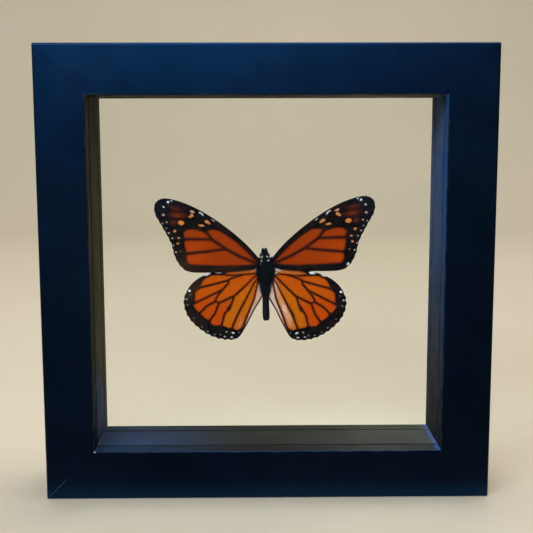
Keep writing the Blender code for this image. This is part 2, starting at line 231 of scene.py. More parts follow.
# Light spots in millimetres; warmth goes from white at 0 to orange at 1
Spot = namedtuple("Spot", "across up length width tilt warmth strength", defaults=(0, 0.0, 1.0))
FOREWING_SPOTS = tuple(Spot(*values) for values in (
    (42.0, 29.7, 1.1, 0.9, 20, 0.0, 0.85), (40.6, 30.3, 0.9, 0.6, 20, 0.0, 0.8),
    (44.0, 27.7, 0.9, 0.7, 0, 0.0, 0.85), (44.3, 24.2, 1.1, 0.9, 0, 0.35, 0.8),
    (42.9, 21.0, 0.9, 0.8, 0, 0.35, 0.7), (27.3, 24.1, 1.3, 0.6, 55, 0.05, 0.85),
    (28.3, 24.9, 1.0, 0.6, 20, 0.05, 0.85), (22.6, 21.4, 1.4, 0.5, 40, 0.0, 0.4),
    (31.6, 25.4, 1.9, 0.8, 25, 0.6, 1.0), (31.8, 23.8, 1.5, 1.3, 60, 0.85, 1.0),
    (32.6, 23.2, 1.4, 1.0, -10, 0.9, 0.9), (36.6, 20.6, 2.6, 1.9, 10, 0.95, 1.0),
    (25.4, 20.9, 1.9, 1.3, 20, 0.85, 1.0), (24.5, 20.2, 1.4, 0.9, 30, 0.9, 0.9),
    (27.8, 19.3, 2.4, 0.9, 8, 0.9, 1.0), (39.5, 17.0, 1.3, 1.1, 0, 0.85, 0.9),
    (37.8, 14.0, 1.2, 0.9, 0, 0.75, 0.65), (38.3, 11.5, 1.2, 0.9, 0, 0.8, 0.8),
    (37.1, 8.1, 0.8, 0.6, 0, 0.5, 0.35), (40.7, 13.9, 0.7, 0.6, 0, 0.2, 0.6),
    (40.3, 10.7, 0.7, 0.6, 0, 0.2, 0.6), (39.2, 7.7, 0.8, 0.6, 0, 0.2, 0.6),
    (42.1, 16.2, 0.8, 0.6, 0, 0.2, 0.6), (43.1, 18.4, 0.7, 0.6, 0, 0.2, 0.5),
    (44.7, 20.5, 0.7, 0.6, 0, 0.2, 0.5),
))
HINDWING_SPOTS = tuple(Spot(*values) for values in (
    (33.5, -10.4, 1.0, 0.9), (33.2, -12.1, 0.7, 0.6, 0, 0.1, 0.2), (34.8, -14.1, 0.8, 0.7, 0, 0.05, 0.55),
    (34.3, -16.7, 0.8, 0.6, 0, 0.05, 0.25), (31.6, -22.6, 0.7, 0.5, 50, 0.1, 0.25),
    (28.0, -26.6, 0.8, 0.5, 40, 0.1, 0.3), (25.4, -28.7, 0.7, 0.5, 30, 0.1, 0.3),
    (22.3, -30.1, 0.7, 0.5, 10, 0.15, 0.3), (19.6, -30.2, 0.7, 0.6, 0, 0.15, 0.35),
    (17.8, -31.0, 0.8, 0.6, 0, 0.0, 0.6), (17.1, -28.9, 0.7, 0.6, 0, 0.35, 0.75),
    (14.2, -29.3, 1.2, 0.7, 25, 0.0, 0.9), (14.8, -31.3, 0.9, 0.6, 0, 0.0, 0.8),
    (11.4, -29.2, 0.6, 0.5, 0, 0.1, 0.2), (20.6, -2.0, 2.7, 1.0, -5, 0.0, 0.9),
    (25.6, -2.9, 2.4, 1.0, -25, 0.05, 0.7),
))
WING_SPOTS = {
    ("forewing", "left"): FOREWING_SPOTS,
    ("forewing", "right"): FOREWING_SPOTS + (Spot(36.3, 1.6, 1.2, 0.8, 30, 0.1, 0.9),),
    ("hindwing", "left"): HINDWING_SPOTS + (Spot(5.0, -1.3, 2.6, 0.8, -8, 0.4, 0.3),),
    ("hindwing", "right"): HINDWING_SPOTS + (
        Spot(5.3, -1.0, 3.4, 0.8, -5, 0.0, 0.6), Spot(4.5, -2.2, 1.5, 1.1, 0, 0.0, 0.55),
    ),
}

# Soft patches in millimetres: red-brown on the forewing's dark tip, pale on the hindwing
Patch = namedtuple("Patch", "across up length width tilt strength")
WING_PATCHES = {
    "forewing": (
        Patch(38.2, 24.0, 6.6, 2.6, 8, 1.0),
        Patch(39.0, 26.9, 6.0, 2.0, 12, 0.6),
        Patch(39.9, 20.8, 3.2, 2.2, 0, 0.6),
        Patch(34.5, 27.0, 3.0, 1.0, 25, 0.25),
    ),
    "hindwing": (
        Patch(12.5, -1.6, 9.0, 1.6, 0, 0.12),
        Patch(11.0, -25.0, 1.2, 4.5, 14, 0.25),
    ),
}
# The hindwing's amber inner cells and front strip, and its pale fold beside the body
AMBER_FIELDS = (
    ((1.6, -3.2), (10.2, -9.4), (13.9, -13.0), (16.2, -18.5), (18.0, -20.6), (19.4, -27.0), (12.0, -31.0),
     (4.6, -20.4), (0.0, -13.0)),
    ((0.0, 0.0), (20.0, 0.0), (20.0, -3.4), (13.8, -3.4), (9.5, -2.8), (2.4, -2.6)),
)
PALE_FOLD = (
    (0.0, -4.5), (2.6, -5.6), (3.6, -8.0), (4.9, -14.0), (8.0, -21.5), (9.5, -26.0), (10.4, -29.5),
    (4.6, -20.0), (0.0, -13.0),
)
PALE_FOLD_STRENGTHS = {"left": 0.7, "right": 1.0}
# The left wings' dark scales carry a painted brown sheen, strongest in these places
BROWN_SHEEN_PATCHES = {
    "forewing": (Patch(35.5, 1.5, 16.0, 9.0, 20, 1.0), Patch(18.0, -0.6, 24.0, 3.0, 0, 0.6)),
    "hindwing": (Patch(31.5, -8.5, 9.0, 15.0, 20, 1.0), Patch(31.0, -23.0, 9.0, 9.0, 0, 0.5)),
}
# The right hindwing's faded cell, where its scales have rubbed off altogether, and the male's
# scent patch on a hindwing vein
FADED_CELL = (
    (3.6, -4.6), (5.2, -5.5), (9.9, -16.6), (12.3, -21.5), (14.4, -27.0), (10.2, -27.3), (6.6, -19.2),
    (4.4, -13.1), (3.2, -6.4),
)
PALE_STREAK = (Patch(4.7, -8.2, 1.0, 5.6, 13, 0.9),)
RUBBED_PATCHES = (Patch(8.9, -18.6, 1.9, 4.6, 22, 1.0), Patch(10.6, -22.4, 1.3, 3.0, 22, 0.8))
SCENT_PATCH = Patch(16.0, -18.2, 1.5, 2.7, 32, 1.0)
SCENT_PATCHES = {
    ("hindwing", "left"): (SCENT_PATCH,),
    ("hindwing", "right"): (SCENT_PATCH, Patch(12.1, -20.4, 1.1, 2.8, 26, 1.0)),
}

# How each pair of wings differs in its scales: the orange of the under side, and how far, how
# strongly and how softly orange turns into black
WingLook = namedtuple("WingLook", "under_orange edge_reach edge_strength cell_softness")
WING_LOOKS = {
    "forewing": WingLook((0.46, 0.15, 0.030), 0.5, 1.0, 0.42),
    "hindwing": WingLook((0.56, 0.30, 0.11), 0.35, 0.5, 0.28),
}
RUST = (0.25, 0.03, 0.002)
# A painted blue sheen in the black at the forewing's tip
PAINTED_BLUE_SHEEN = (0.0035, 0.0050, 0.011)
TIP_TAN = (0.38, 0.21, 0.09)
VEIN_RIM = (0.60, 0.51, 0.41)
WING_GRIDS = {"forewing": (170, 96), "hindwing": (140, 110)}

# The two colours of the eyes and of the white scale tufts
EYE_COLORS = ((0.020, 0.014, 0.010), (0.004, 0.003, 0.003))
TUFT_COLORS = ((0.72, 0.74, 0.78), (0.85, 0.86, 0.9))
# White scale tufts on the head and the front of the thorax: each with its place across and up in
# millimetres, and its number of hairs
WHITE_TUFTS = ((-1.1, 5.05, 34), (0.95, 5.15, 34), (-1.45, 3.35, 34), (1.3, 3.35, 34), (-1.8, 2.1, 9))


def clear_selection():
    if bpy.context.mode != "OBJECT":
        bpy.ops.object.mode_set(mode="OBJECT")
    bpy.ops.object.select_all(action="DESELECT")


def make_active(item):
    clear_selection()
    item.select_set(True)
    bpy.context.view_layer.objects.active = item


def apply_place(item):
    """Put the object at the origin, unturned and unscaled, with its place in its mesh."""
    make_active(item)
    bpy.ops.object.transform_apply(location=True, rotation=True, scale=True)


def apply_modifiers(item):
    make_active(item)
    for modifier in list(item.modifiers):
        bpy.ops.object.modifier_apply(modifier=modifier.name)


def finish_piece(item, name, nodes, materials):
    """Name a piece, give it its materials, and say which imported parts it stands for."""
    item.name = name
    item.data.name = name
    item.data.materials.clear()
    for material in materials:
        item.data.materials.append(material)
    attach(item, "root")
    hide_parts(*nodes)


def select_edges(item, is_chosen):
    """In edit mode, select only the edges whose middle and direction pass a test."""
    bpy.ops.mesh.select_mode(type="EDGE")
    bpy.ops.mesh.select_all(action="DESELECT")
    shape = bmesh.from_edit_mesh(item.data)
    for edge in shape.edges:
        start, end = (corner.co for corner in edge.verts)
        edge.select_set(is_chosen((start + end) / 2, (end - start).normalized()))
    shape.select_flush_mode()
    bmesh.update_edit_mesh(item.data)


def join_meshes(items, name):
    """Join several objects into the first one."""
    clear_selection()
    for item in items:
        item.select_set(True)
    bpy.context.view_layer.objects.active = items[0]
    bpy.ops.object.join()
    items[0].name = name
    return items[0]


def face_outwards(item, merge=0.0):
    """Merge doubles and recalculate the normals."""
    make_active(item)
    bpy.ops.object.mode_set(mode="EDIT")
    bpy.ops.mesh.select_all(action="SELECT")
    if merge:
        bpy.ops.mesh.remove_doubles(threshold=merge)
    bpy.ops.mesh.normals_make_consistent(inside=False)
    bpy.ops.object.mode_set(mode="OBJECT")


# Shader helpers


def feed(tree, value, socket):
    """Link a socket to another one, or set its value."""
    if isinstance(value, bpy.types.NodeSocket):
        tree.links.new(value, socket)
    elif socket.type == "RGBA" and len(value) == 3:
        socket.default_value = (*value, 1.0)
    else:
        socket.default_value = value


def put(tree, kind, inputs=None, **settings):
    """Add a node; inputs maps its sockets to values or to other nodes' sockets."""
    node = tree.nodes.new(kind)
    for setting, value in settings.items():
        setattr(node, setting, value)
    for socket, value in (inputs or {}).items():
        feed(tree, value, node.inputs[socket])
    return node


def calc(tree, operation, *values):
    return put(tree, "ShaderNodeMath", dict(enumerate(values)), operation=operation).outputs[0]


def times(tree, *factors):
    """Multiply two or more numbers."""
    product = factors[0]
    for factor in factors[1:]:
        product = calc(tree, "MULTIPLY", product, factor)
    return product


def minus(tree, first, second):
    return calc(tree, "SUBTRACT", first, second)


def blend(tree, factor, first, second):
    """The first colour where the factor is 0 and the second where it is 1."""
    node = put(tree, "ShaderNodeMix", data_type="RGBA")
    feed(tree, factor, node.inputs[0])
    feed(tree, first, node.inputs[6])
    feed(tree, second, node.inputs[7])
    return node.outputs[2]


def fade(tree, value, low, high, start=0.0, end=1.0):
    """Go smoothly from start to end as the value goes from low to high."""
    inputs = {"Value": value, "From Min": low, "From Max": high, "To Min": start, "To Max": end}
    return put(tree, "ShaderNodeMapRange", inputs, interpolation_type="SMOOTHSTEP").outputs["Result"]


def between(tree, share, first, second):
    """The first number where the share is 0 and the second where it is 1."""
    return calc(tree, "MULTIPLY_ADD", share, minus(tree, second, first), first)


def brighten(tree, color, factor):
    """Multiply a colour by a number."""
    return put(tree, "ShaderNodeVectorMath", {0: color, "Scale": factor}, operation="SCALE").outputs["Vector"]


def noise(tree, vector, scale, detail=2.0, roughness=0.5):
    inputs = {"Vector": vector, "Scale": scale, "Detail": detail, "Roughness": roughness}
    return put(tree, "ShaderNodeTexNoise", inputs).outputs["Fac"]


def own_place(tree):
    """The object's own coordinates."""
    return put(tree, "ShaderNodeTexCoord").outputs["Object"]


def attribute(tree, name):
    return put(tree, "ShaderNodeAttribute", attribute_name=name).outputs["Fac"]


def bump(tree, height, strength, distance):
    inputs = {"Height": height, "Strength": strength, "Distance": distance}
    return put(tree, "ShaderNodeBump", inputs).outputs["Normal"]


def feed_all(tree, sockets, **values):
    """Feed sockets by their names, with _ where a name has a space."""
    for name, value in values.items():
        feed(tree, value, sockets[name.replace("_", " ")])


def new_group(name, inputs, outputs):
    """A node group: returns it, the sockets of its inputs and those of its outputs.

    inputs maps names to default numbers, and outputs lists names.
    """
    group = bpy.data.node_groups.new(name, "ShaderNodeTree")
    for label, default in inputs.items():
        socket = group.interface.new_socket(name=label, in_out="INPUT", socket_type="NodeSocketFloat")
        socket.default_value = default
    for label in outputs:
        group.interface.new_socket(name=label, in_out="OUTPUT", socket_type="NodeSocketFloat")
    start = group.nodes.new("NodeGroupInput")
    end = group.nodes.new("NodeGroupOutput")
    return group, start.outputs, end.inputs


def use_group(tree, name, **inputs):
    node = tree.nodes.new("ShaderNodeGroup")
    node.node_tree = bpy.data.node_groups[name]
    feed_all(tree, node.inputs, **inputs)
    return node.outputs


def new_material(name, **constants):
    """A Principled material: returns it, its tree and its shader."""
    material = bpy.data.materials.new(name)
    material.use_nodes = True
    shader = material.node_tree.nodes["Principled BSDF"]
    feed_all(material.node_tree, shader.inputs, **constants)
    return material, material.node_tree, shader


# Shared effects


def group_ragged_mask():
    """1 where a distance in millimetres is below 0, with an edge as uneven as rows of scales."""
    inputs = {"Distance": 0.0, "Softness": 0.1, "Raggedness": 0.3}
    group, start, end = new_group("ragged mask", inputs, ["Mask"])
    place = own_place(group)
    coarse = minus(group, noise(group, place, 1400, 3.0, 0.65), 0.5)
    shifted = calc(group, "MULTIPLY_ADD", coarse, start["Raggedness"], start["Distance"])
    low = times(group, start["Softness"], -1.0)
    feed(group, fade(group, shifted, low, start["Softness"], 1.0, 0.0), end["Mask"])


def ragged(tree, distance, softness, raggedness):
    """The ragged mask of a distance."""
    return use_group(
        tree, "ragged mask", Distance=distance, Softness=softness, Raggedness=raggedness
    )["Mask"]


def group_scale_rows():
    """Fine rows of scales: a light and dark grain and a height for the bump."""
    group, _, end = new_group("scale rows", {}, ["Grain", "Height"])
    place = own_place(group)
    cells = put(group, "ShaderNodeTexVoronoi", {"Vector": place, "Scale": 7000.0, "Randomness": 0.8})
    scale = cells.outputs["Distance"]
    fine = noise(group, place, 2600, 3.0, 0.7)
    feed_all(group, end, Grain=calc(group, "MULTIPLY_ADD", scale, 0.35, fine), Height=scale)


def corner_distance(tree, place):
    """Distance from the low left corner of the opening, at the front."""
    corner = LOW + Vector((RAIL_FACE, 0.0, RAIL_FACE))
    return put(tree, "ShaderNodeVectorMath", {0: place, 1: corner}, operation="DISTANCE").outputs["Value"]


def group_frame_edges():
    """How near a point is to the frame's outer and inner front edges, to its mitres and to its chip.

    Filler shows only at the low left mitre, near the outer corner.
    """
    group, _, end = new_group("frame edges", {}, ["Worn edge", "Mitre", "Filler", "Inner face", "Chip"])
    place = own_place(group)
    parts = put(group, "ShaderNodeSeparateXYZ", {0: place}).outputs
    outer_x = minus(group, FRAME_SIZE.x / 2, calc(group, "ABSOLUTE", parts["X"]))
    outer_z = minus(group, FRAME_SIZE.z / 2, calc(group, "ABSOLUTE", minus(group, parts["Z"], MIDDLE.z)))
    outer = calc(group, "MINIMUM", outer_x, outer_z)
    inner = minus(group, RAIL_FACE, outer)
    front = minus(group, parts["Y"], LOW.y)
    nearest = calc(group, "MINIMUM", calc(group, "ABSOLUTE", outer), calc(group, "ABSOLUTE", inner))
    squares = calc(group, "ADD", times(group, nearest, nearest), times(group, front, front))
    reach = calc(group, "SQRT", squares)
    patchy = noise(group, place, 160, 4.0, 0.65)
    fine = noise(group, place, 1500, 2.0, 0.6)
    width = times(group, WORN_WIDTH, fade(group, patchy, 0.42, 0.7, 0.25, 1.3))
    near_edge = fade(group, calc(group, "DIVIDE", reach, width), 0.4, 1.0, 1.0, 0.0)
    skew = calc(group, "ABSOLUTE", minus(group, outer_x, outer_z))
    mitre = fade(group, skew, 0.10 * MM, 0.24 * MM, 1.0, 0.0)
    left = calc(group, "LESS_THAN", parts["X"], 0.0)
    near_corner = fade(group, parts["Z"], 8 * MM, 9.5 * MM, 1.0, 0.0)
    chip_reach = calc(group, "MULTIPLY_ADD", fine, 0.8 * MM, corner_distance(group, place))
    feed_all(
        group, end,
        Worn_edge=times(group, near_edge, fade(group, fine, 0.35, 0.6)),
        Mitre=mitre,
        Filler=times(group, mitre, left, near_corner),
        Inner_face=fade(group, inner, -0.1 * MM, 0.25 * MM, 1.0, 0.0),
        Chip=fade(group, chip_reach, 0.75 * MM, 1.05 * MM, 1.0, 0.0),
    )


def group_wall_light():
    """The light of the room on the four inner walls: where it is warm, where cool, and how strong.

    Low cool and Left cool say how strongly the low left corner's cool cast shows on the walls that
    meet there; Left low and Left high are the left wall's levels at its two ends.
    """
    inputs = {"Low cool": 1.0, "Left cool": 1.0, "Left low": 1.0, "Left high": 1.0}
    group, start, end = new_group("wall light", inputs, ["Warm side", "Cool side", "Level"])
    place = own_place(group)
    parts = put(group, "ShaderNodeSeparateXYZ", {0: place}).outputs
    height = minus(group, parts["Z"], MIDDLE.z)
    warm = fade(group, minus(group, height, parts["X"]), -2 * MM, 2 * MM)
    away = corner_distance(group, place)
    low_cool = times(group, fade(group, away, 8 * MM, 72 * MM, 0.9, 0.0), start["Low cool"])
    left_cool = times(group, fade(group, away, 26 * MM, 44 * MM, 0.95, 0.0), start["Left cool"])
    opening = FRAME_SIZE.x / 2 - RAIL_FACE
    right = fade(group, parts["X"], opening - 3 * MM, opening - 0.2 * MM)
    beyond = minus(group, calc(group, "ABSOLUTE", parts["X"]), calc(group, "ABSOLUTE", height))
    upright = calc(group, "GREATER_THAN", beyond, (FRAME_SIZE.x - FRAME_SIZE.z) / 2)
    right_level = fade(group, height, -70 * MM, 60 * MM, 0.05, 1.4)
    left_level = fade(group, height, -60 * MM, 60 * MM, start["Left low"], start["Left high"])
    low_level = fade(group, parts["X"], 5 * MM, 55 * MM, 1.0, 2.7)
    top_level = fade(group, parts["X"], 0.0, 50 * MM, 0.55, 2.5)
    lying_level = between(group, warm, low_level, top_level)
    upright_level = between(group, warm, right_level, left_level)
    feed_all(
        group, end,
        Warm_side=warm,
        Cool_side=calc(group, "MAXIMUM", between(group, warm, low_cool, left_cool), right),
        Level=between(group, upright, lying_level, upright_level),
    )


# Materials


def rail_paint_material(settings, name, tint, level):
    """Satin black paint with fine ripples, rubbed edges and a filled mitre; its specular tint and level
    colour the reflections, which on the front faces paint a blue reflection of the window.
    """
    material, tree, shader = new_material(name, Specular_Tint=tint, Specular_IOR_Level=level)
    place = own_place(tree)
    edges = use_group(tree, "frame edges")
    cloud = noise(tree, place, 28, 4.0, 0.6)
    color = blend(tree, fade(tree, cloud, 0.35, 0.7), settings.paint, settings.paint_light)
    color = blend(tree, times(tree, edges["Worn edge"], 0.55), color, RUBBED_PAINT)
    color = blend(tree, edges["Filler"], color, MITRE_FILLER)
    satin = settings.paint_roughness
    feed_all(
        tree, shader.inputs,
        Base_Color=blend(tree, edges["Chip"], color, BARE_WOOD),
        Roughness=fade(tree, noise(tree, place, 75, 3.0, 0.55), 0.3, 0.75, satin - 0.02, satin + 0.03),
        Normal=bump(tree, noise(tree, place, 900, 2.0, 0.5), 0.10, 0.05 * MM),
    )
    return material


def strip_paint_material(settings, name, warm_wall_light, cool_wall_light, **reach):
    """The inner walls' thinner black paint, with specks of dust, the room's warm and cool light painted on
    the inner faces, and a painted glint along the corner joints.

    reach holds inputs of the wall light: how far its casts reach on these walls.
    """
    material, tree, shader = new_material(name, Specular_IOR_Level=0.035)
    place = own_place(tree)
    cloud = noise(tree, place, 22, 4.0, 0.6)
    color = blend(tree, fade(tree, cloud, 0.3, 0.75), settings.strip_paint, settings.strip_light)
    specks = put(tree, "ShaderNodeTexVoronoi", {"Vector": place, "Scale": 420.0}).outputs["Distance"]
    dusty = fade(tree, noise(tree, place, 60, 3.0), 0.5, 0.66)
    dust = times(tree, fade(tree, specks, 0.05, 0.12, 1.0, 0.0), dusty, 0.5)
    color = blend(tree, dust, color, DUST)
    edges = use_group(tree, "frame edges")
    light = use_group(tree, "wall light", **reach)
    # The room's light painted on the inner faces: warm on the left and top, cool on the right and near the
    # low left corner, brighter or darker by how it falls
    wall = blend(tree, light["Warm side"], color, warm_wall_light)
    wall = blend(tree, light["Cool side"], wall, cool_wall_light)
    color = blend(tree, edges["Inner face"], color, brighten(tree, wall, light["Level"]))
    # A painted glint along the corner joints
    color = blend(tree, times(tree, edges["Mitre"], 0.8), color, PAINTED_JOINT_GLINT)
    satin = settings.strip_roughness
    feed_all(
        tree, shader.inputs,
        Base_Color=blend(tree, edges["Chip"], color, BARE_WOOD),
        Roughness=fade(tree, noise(tree, place, 90, 3.0), 0.3, 0.75, satin - 0.05, satin + 0.08),
        Normal=bump(tree, noise(tree, place, 700, 3.0), 0.15, 0.06 * MM),
    )
    return material


def glass_material(settings):
    """Clear picture glass that lets light through to what it covers."""
    material, tree, shader = new_material(
        "picture glass", Base_Color=settings.tint, Roughness=0.0, IOR=1.5, Transmission_Weight=1.0,
        Specular_Tint=(0.02, 0.022, 0.025)
    )
    clear = put(tree, "ShaderNodeBsdfTransparent", {"Color": settings.tint})
    shadow = put(tree, "ShaderNodeLightPath").outputs["Is Shadow Ray"]
    mix = put(tree, "ShaderNodeMixShader", {0: shadow, 1: shader.outputs[0], 2: clear.outputs[0]})
    feed(tree, mix.outputs[0], tree.nodes["Material Output"].inputs["Surface"])
    return material


def orange_scales(tree, kind, under, settings, blotches):
    """The orange of the cells, with the hindwing's pale and rubbed places."""
    tone = attribute(tree, "tone")
    if kind == "forewing":
        orange = blend(tree, tone, settings.fore_orange, settings.fore_bright)
    else:
        orange = blend(tree, fade(tree, tone, 0.0, 0.5), settings.hind_deep, settings.hind_orange)
        orange = blend(tree, fade(tree, tone, 0.5, 1.0), orange, settings.hind_amber)
    if under:
        orange = blend(tree, 0.7, orange, WING_LOOKS[kind].under_orange)
    reddened = blend(tree, 0.5, orange, RUST)
    orange = blend(tree, fade(tree, blotches, 0.35, 0.75, 0.0, 0.35), orange, reddened)
    if kind == "hindwing":
        faded = times(tree, attribute(tree, "faded"), fade(tree, blotches, 0.35, 0.65, 0.45, 0.85))
        orange = blend(tree, faded, orange, settings.faded)
        orange = blend(tree, times(tree, attribute(tree, "patch"), 0.9), orange, settings.pale)
        flecks = fade(tree, noise(tree, own_place(tree), 1300, 3.0, 0.65), 0.5, 0.6)
        orange = blend(tree, times(tree, attribute(tree, "rubbed"), flecks), orange, settings.white)
    return orange


def dark_scales(tree, kind, under, settings, blotches):
    """The black of the borders: brown blotches, a painted brown sheen in places on the left wings, and a
    painted blue sheen and red clouding at the tip.
    """
    dark = blend(tree, fade(tree, blotches, 0.4, 0.75, 0.0, 0.4), settings.black, settings.brown_black_and_sheen)
    # A painted brown sheen on the left wings' dark scales
    dark = blend(tree, attribute(tree, "brown_sheen"), dark, settings.brown_black_and_sheen)
    if kind == "forewing":
        # The tip mask places a painted blue sheen in the upper side's black, and the tan of the under side's
        # tip
        bloom = attribute(tree, "bloom")
        dark = blend(tree, times(tree, bloom, 0.4), dark, PAINTED_BLUE_SHEEN)
        dark = blend(tree, attribute(tree, "patch"), dark, settings.dusky)
        if under:
            dark = blend(tree, times(tree, bloom, 0.85), dark, TIP_TAN)
    return dark


def wing_material(kind, under, settings):
    """The scales on one side of a pair of wings; the under side is paler."""
    look = WING_LOOKS[kind]
    side = "under" if under else "upper"
    material, tree, shader = new_material(f"{kind} {side} scales", Specular_IOR_Level=0.03)
    blotches = noise(tree, own_place(tree), 330, 4.0, 0.6)
    orange = orange_scales(tree, kind, under, settings, blotches)
    lines = attribute(tree, "dark")
    edge = ragged(tree, minus(tree, lines, look.edge_reach), 0.75, 0.9)
    orange = blend(tree, times(tree, edge, look.edge_strength), orange, settings.red_edge)
    dark = dark_scales(tree, kind, under, settings, blotches)
    color = blend(tree, ragged(tree, lines, look.cell_softness, 0.8), orange, dark)
    vein = attribute(tree, "vein")
    in_field = ragged(tree, attribute(tree, "field"), 0.5, 0.4)
    color = blend(tree, times(tree, ragged(tree, vein, 0.22, 0.3), in_field), color, settings.vein)
    if under:
        rim = fade(tree, calc(tree, "ABSOLUTE", minus(tree, vein, 0.55)), 0.15, 0.4, 0.6, 0.0)
        color = blend(tree, times(tree, rim, in_field), color, VEIN_RIM)
    growth = 0.28 if under else 0.0
    spot = ragged(tree, minus(tree, attribute(tree, "spot"), growth), 0.2, 0.6)
    warmth = attribute(tree, "warmth")
    light = blend(tree, fade(tree, warmth, 0.0, 0.5), settings.white, settings.rosy)
    light = blend(tree, fade(tree, warmth, 0.4, 1.0), light, settings.apricot)
    color = blend(tree, times(tree, spot, attribute(tree, "strength")), color, light)
    rows = use_group(tree, "scale rows")
    feed_all(
        tree, shader.inputs,
        Base_Color=brighten(tree, color, fade(tree, rows["Grain"], 0.35, 0.9, 0.78, 1.2)),
        Roughness=fade(tree, rows["Grain"], 0.3, 0.9, 0.5, 0.68),
        Normal=bump(tree, rows["Height"], 0.25, 0.03 * MM),
    )
    return material


def hair_material(name, color, light, roughness):
    """Hair or skin that varies finely between two colours."""
    material, tree, shader = new_material(name, Specular_IOR_Level=0.06)
    place = own_place(tree)
    mixed = noise(tree, place, 900, 3.0, 0.7)
    feed_all(
        tree, shader.inputs,
        Base_Color=blend(tree, fade(tree, mixed, 0.4, 0.7), color, light),
        Roughness=fade(tree, mixed, 0.3, 0.7, roughness - 0.08, roughness + 0.1),
        Normal=bump(tree, noise(tree, place, 5000, 2.0), 0.3, 0.03 * MM),
    )
    return material


def eye_material():
    """A dark compound eye: glossy, with a fine net of facets."""
    material, tree, shader = new_material("eye facets", Coat_Weight=0.4, Coat_Roughness=0.12)
    net = {"Vector": own_place(tree), "Scale": 9000.0, "Randomness": 0.25}
    facets = put(tree, "ShaderNodeTexVoronoi", net).outputs["Distance"]
    feed_all(
        tree, shader.inputs,
        Base_Color=blend(tree, fade(tree, facets, 0.2, 0.7), *EYE_COLORS),
        Roughness=fade(tree, facets, 0.2, 0.7, 0.22, 0.4),
        Normal=bump(tree, facets, -0.4, 0.03 * MM),
    )
    return material


def glue_material():
    """Clear adhesive with a faint yellow cast and a few cloudy streaks."""
    material, tree, shader = new_material(
        "clear adhesive", Base_Color=(0.86, 0.83, 0.72), Transmission_Weight=0.85, IOR=1.47
    )
    place = own_place(tree)
    feed_all(
        tree, shader.inputs,
        Roughness=fade(tree, noise(tree, place, 900, 3.0), 0.3, 0.7, 0.06, 0.25),
        Normal=bump(tree, noise(tree, place, 1500, 2.0), 0.2, 0.05 * MM),
    )
    return material


def floor_material(settings):
    """Matt pale paper with the faintest mottling."""
    material, tree, shader = new_material("pale paper", Specular_IOR_Level=0.2)
    place = own_place(tree)
    lighter = tuple(min(1.0, value * 1.04) for value in settings.floor)
    cloud = fade(tree, noise(tree, place, 3.0, 4.0, 0.6), 0.3, 0.7)
    feed_all(
        tree, shader.inputs,
        Base_Color=blend(tree, cloud, settings.floor, lighter),
        Roughness=fade(tree, noise(tree, place, 40, 2.0), 0.3, 0.7, 0.8, 0.9),
    )
    return material


# Frame pieces


def side_place(side):
    """Turns a piece modelled for the top, with its outer face at height 0, to its own side."""
    turn = math.radians(TURNS[side])
    reach = (FRAME_SIZE.x if side in ("left", "right") else FRAME_SIZE.z) / 2
    move = Vector((math.sin(turn) * reach, 0.0, MIDDLE.z + math.cos(turn) * reach))
    return Matrix.Translation(move) @ Matrix.Rotation(turn, 4, "Y")


def half_length(side):
    return (FRAME_SIZE.z if side in ("left", "right") else FRAME_SIZE.x) / 2


def add_block(low, high):
    """A cube as a block between two corners, with its place in its mesh."""
    clear_selection()
    bpy.ops.mesh.primitive_cube_add(size=1.0, location=(low + high) / 2, scale=high - low)
    block = bpy.context.object
    apply_place(block)
    return block


def cut_mitres(side, outer_face, rounding):
    """Cut both ends at 45 degrees, and round the frame's corner where the rails meet."""
    bpy.ops.mesh.select_mode(type="FACE")
    ends = half_length(side)
    for sign in (-1, 1):
        tip = Vector((sign * (ends - outer_face), 0.0, -outer_face))
        planes = [(tip - Vector((sign * MITRE_GAP, 0.0, 0.0)), Vector((sign, 0.0, -1.0)).normalized())]
        centre = tip - Vector((sign * rounding, 0.0, rounding))
        for degrees in (9, 18, 27, 36, 45) if rounding else ():
            angle = math.radians(degrees)
            outward = Vector((sign * math.sin(angle), 0.0, math.cos(angle)))
            planes.append((centre + outward * rounding, outward))
        for point, normal in planes:
            bpy.ops.mesh.select_all(action="SELECT")
            bpy.ops.mesh.bisect(plane_co=point, plane_no=normal, use_fill=True, clear_outer=True)


def faces_opening(polygon):
    """Whether a face is one of the lip's inner ones, around the opening."""
    across = abs(polygon.center.x)
    up = abs(polygon.center.z - MIDDLE.z)
    reach = max(across - FRAME_SIZE.x / 2, up - FRAME_SIZE.z / 2) + RAIL_FACE
    return abs(reach) < 0.05 * MM and polygon.center.y < LIP_END


def smooth_piece(item, degrees=30):
    """Smooth the round parts and keep the flat ones flat."""
    make_active(item)
    bpy.ops.object.shade_smooth_by_angle(angle=math.radians(degrees))
    item.modifiers.new("Even normals", "WEIGHTED_NORMAL").keep_sharp = True
    apply_modifiers(item)


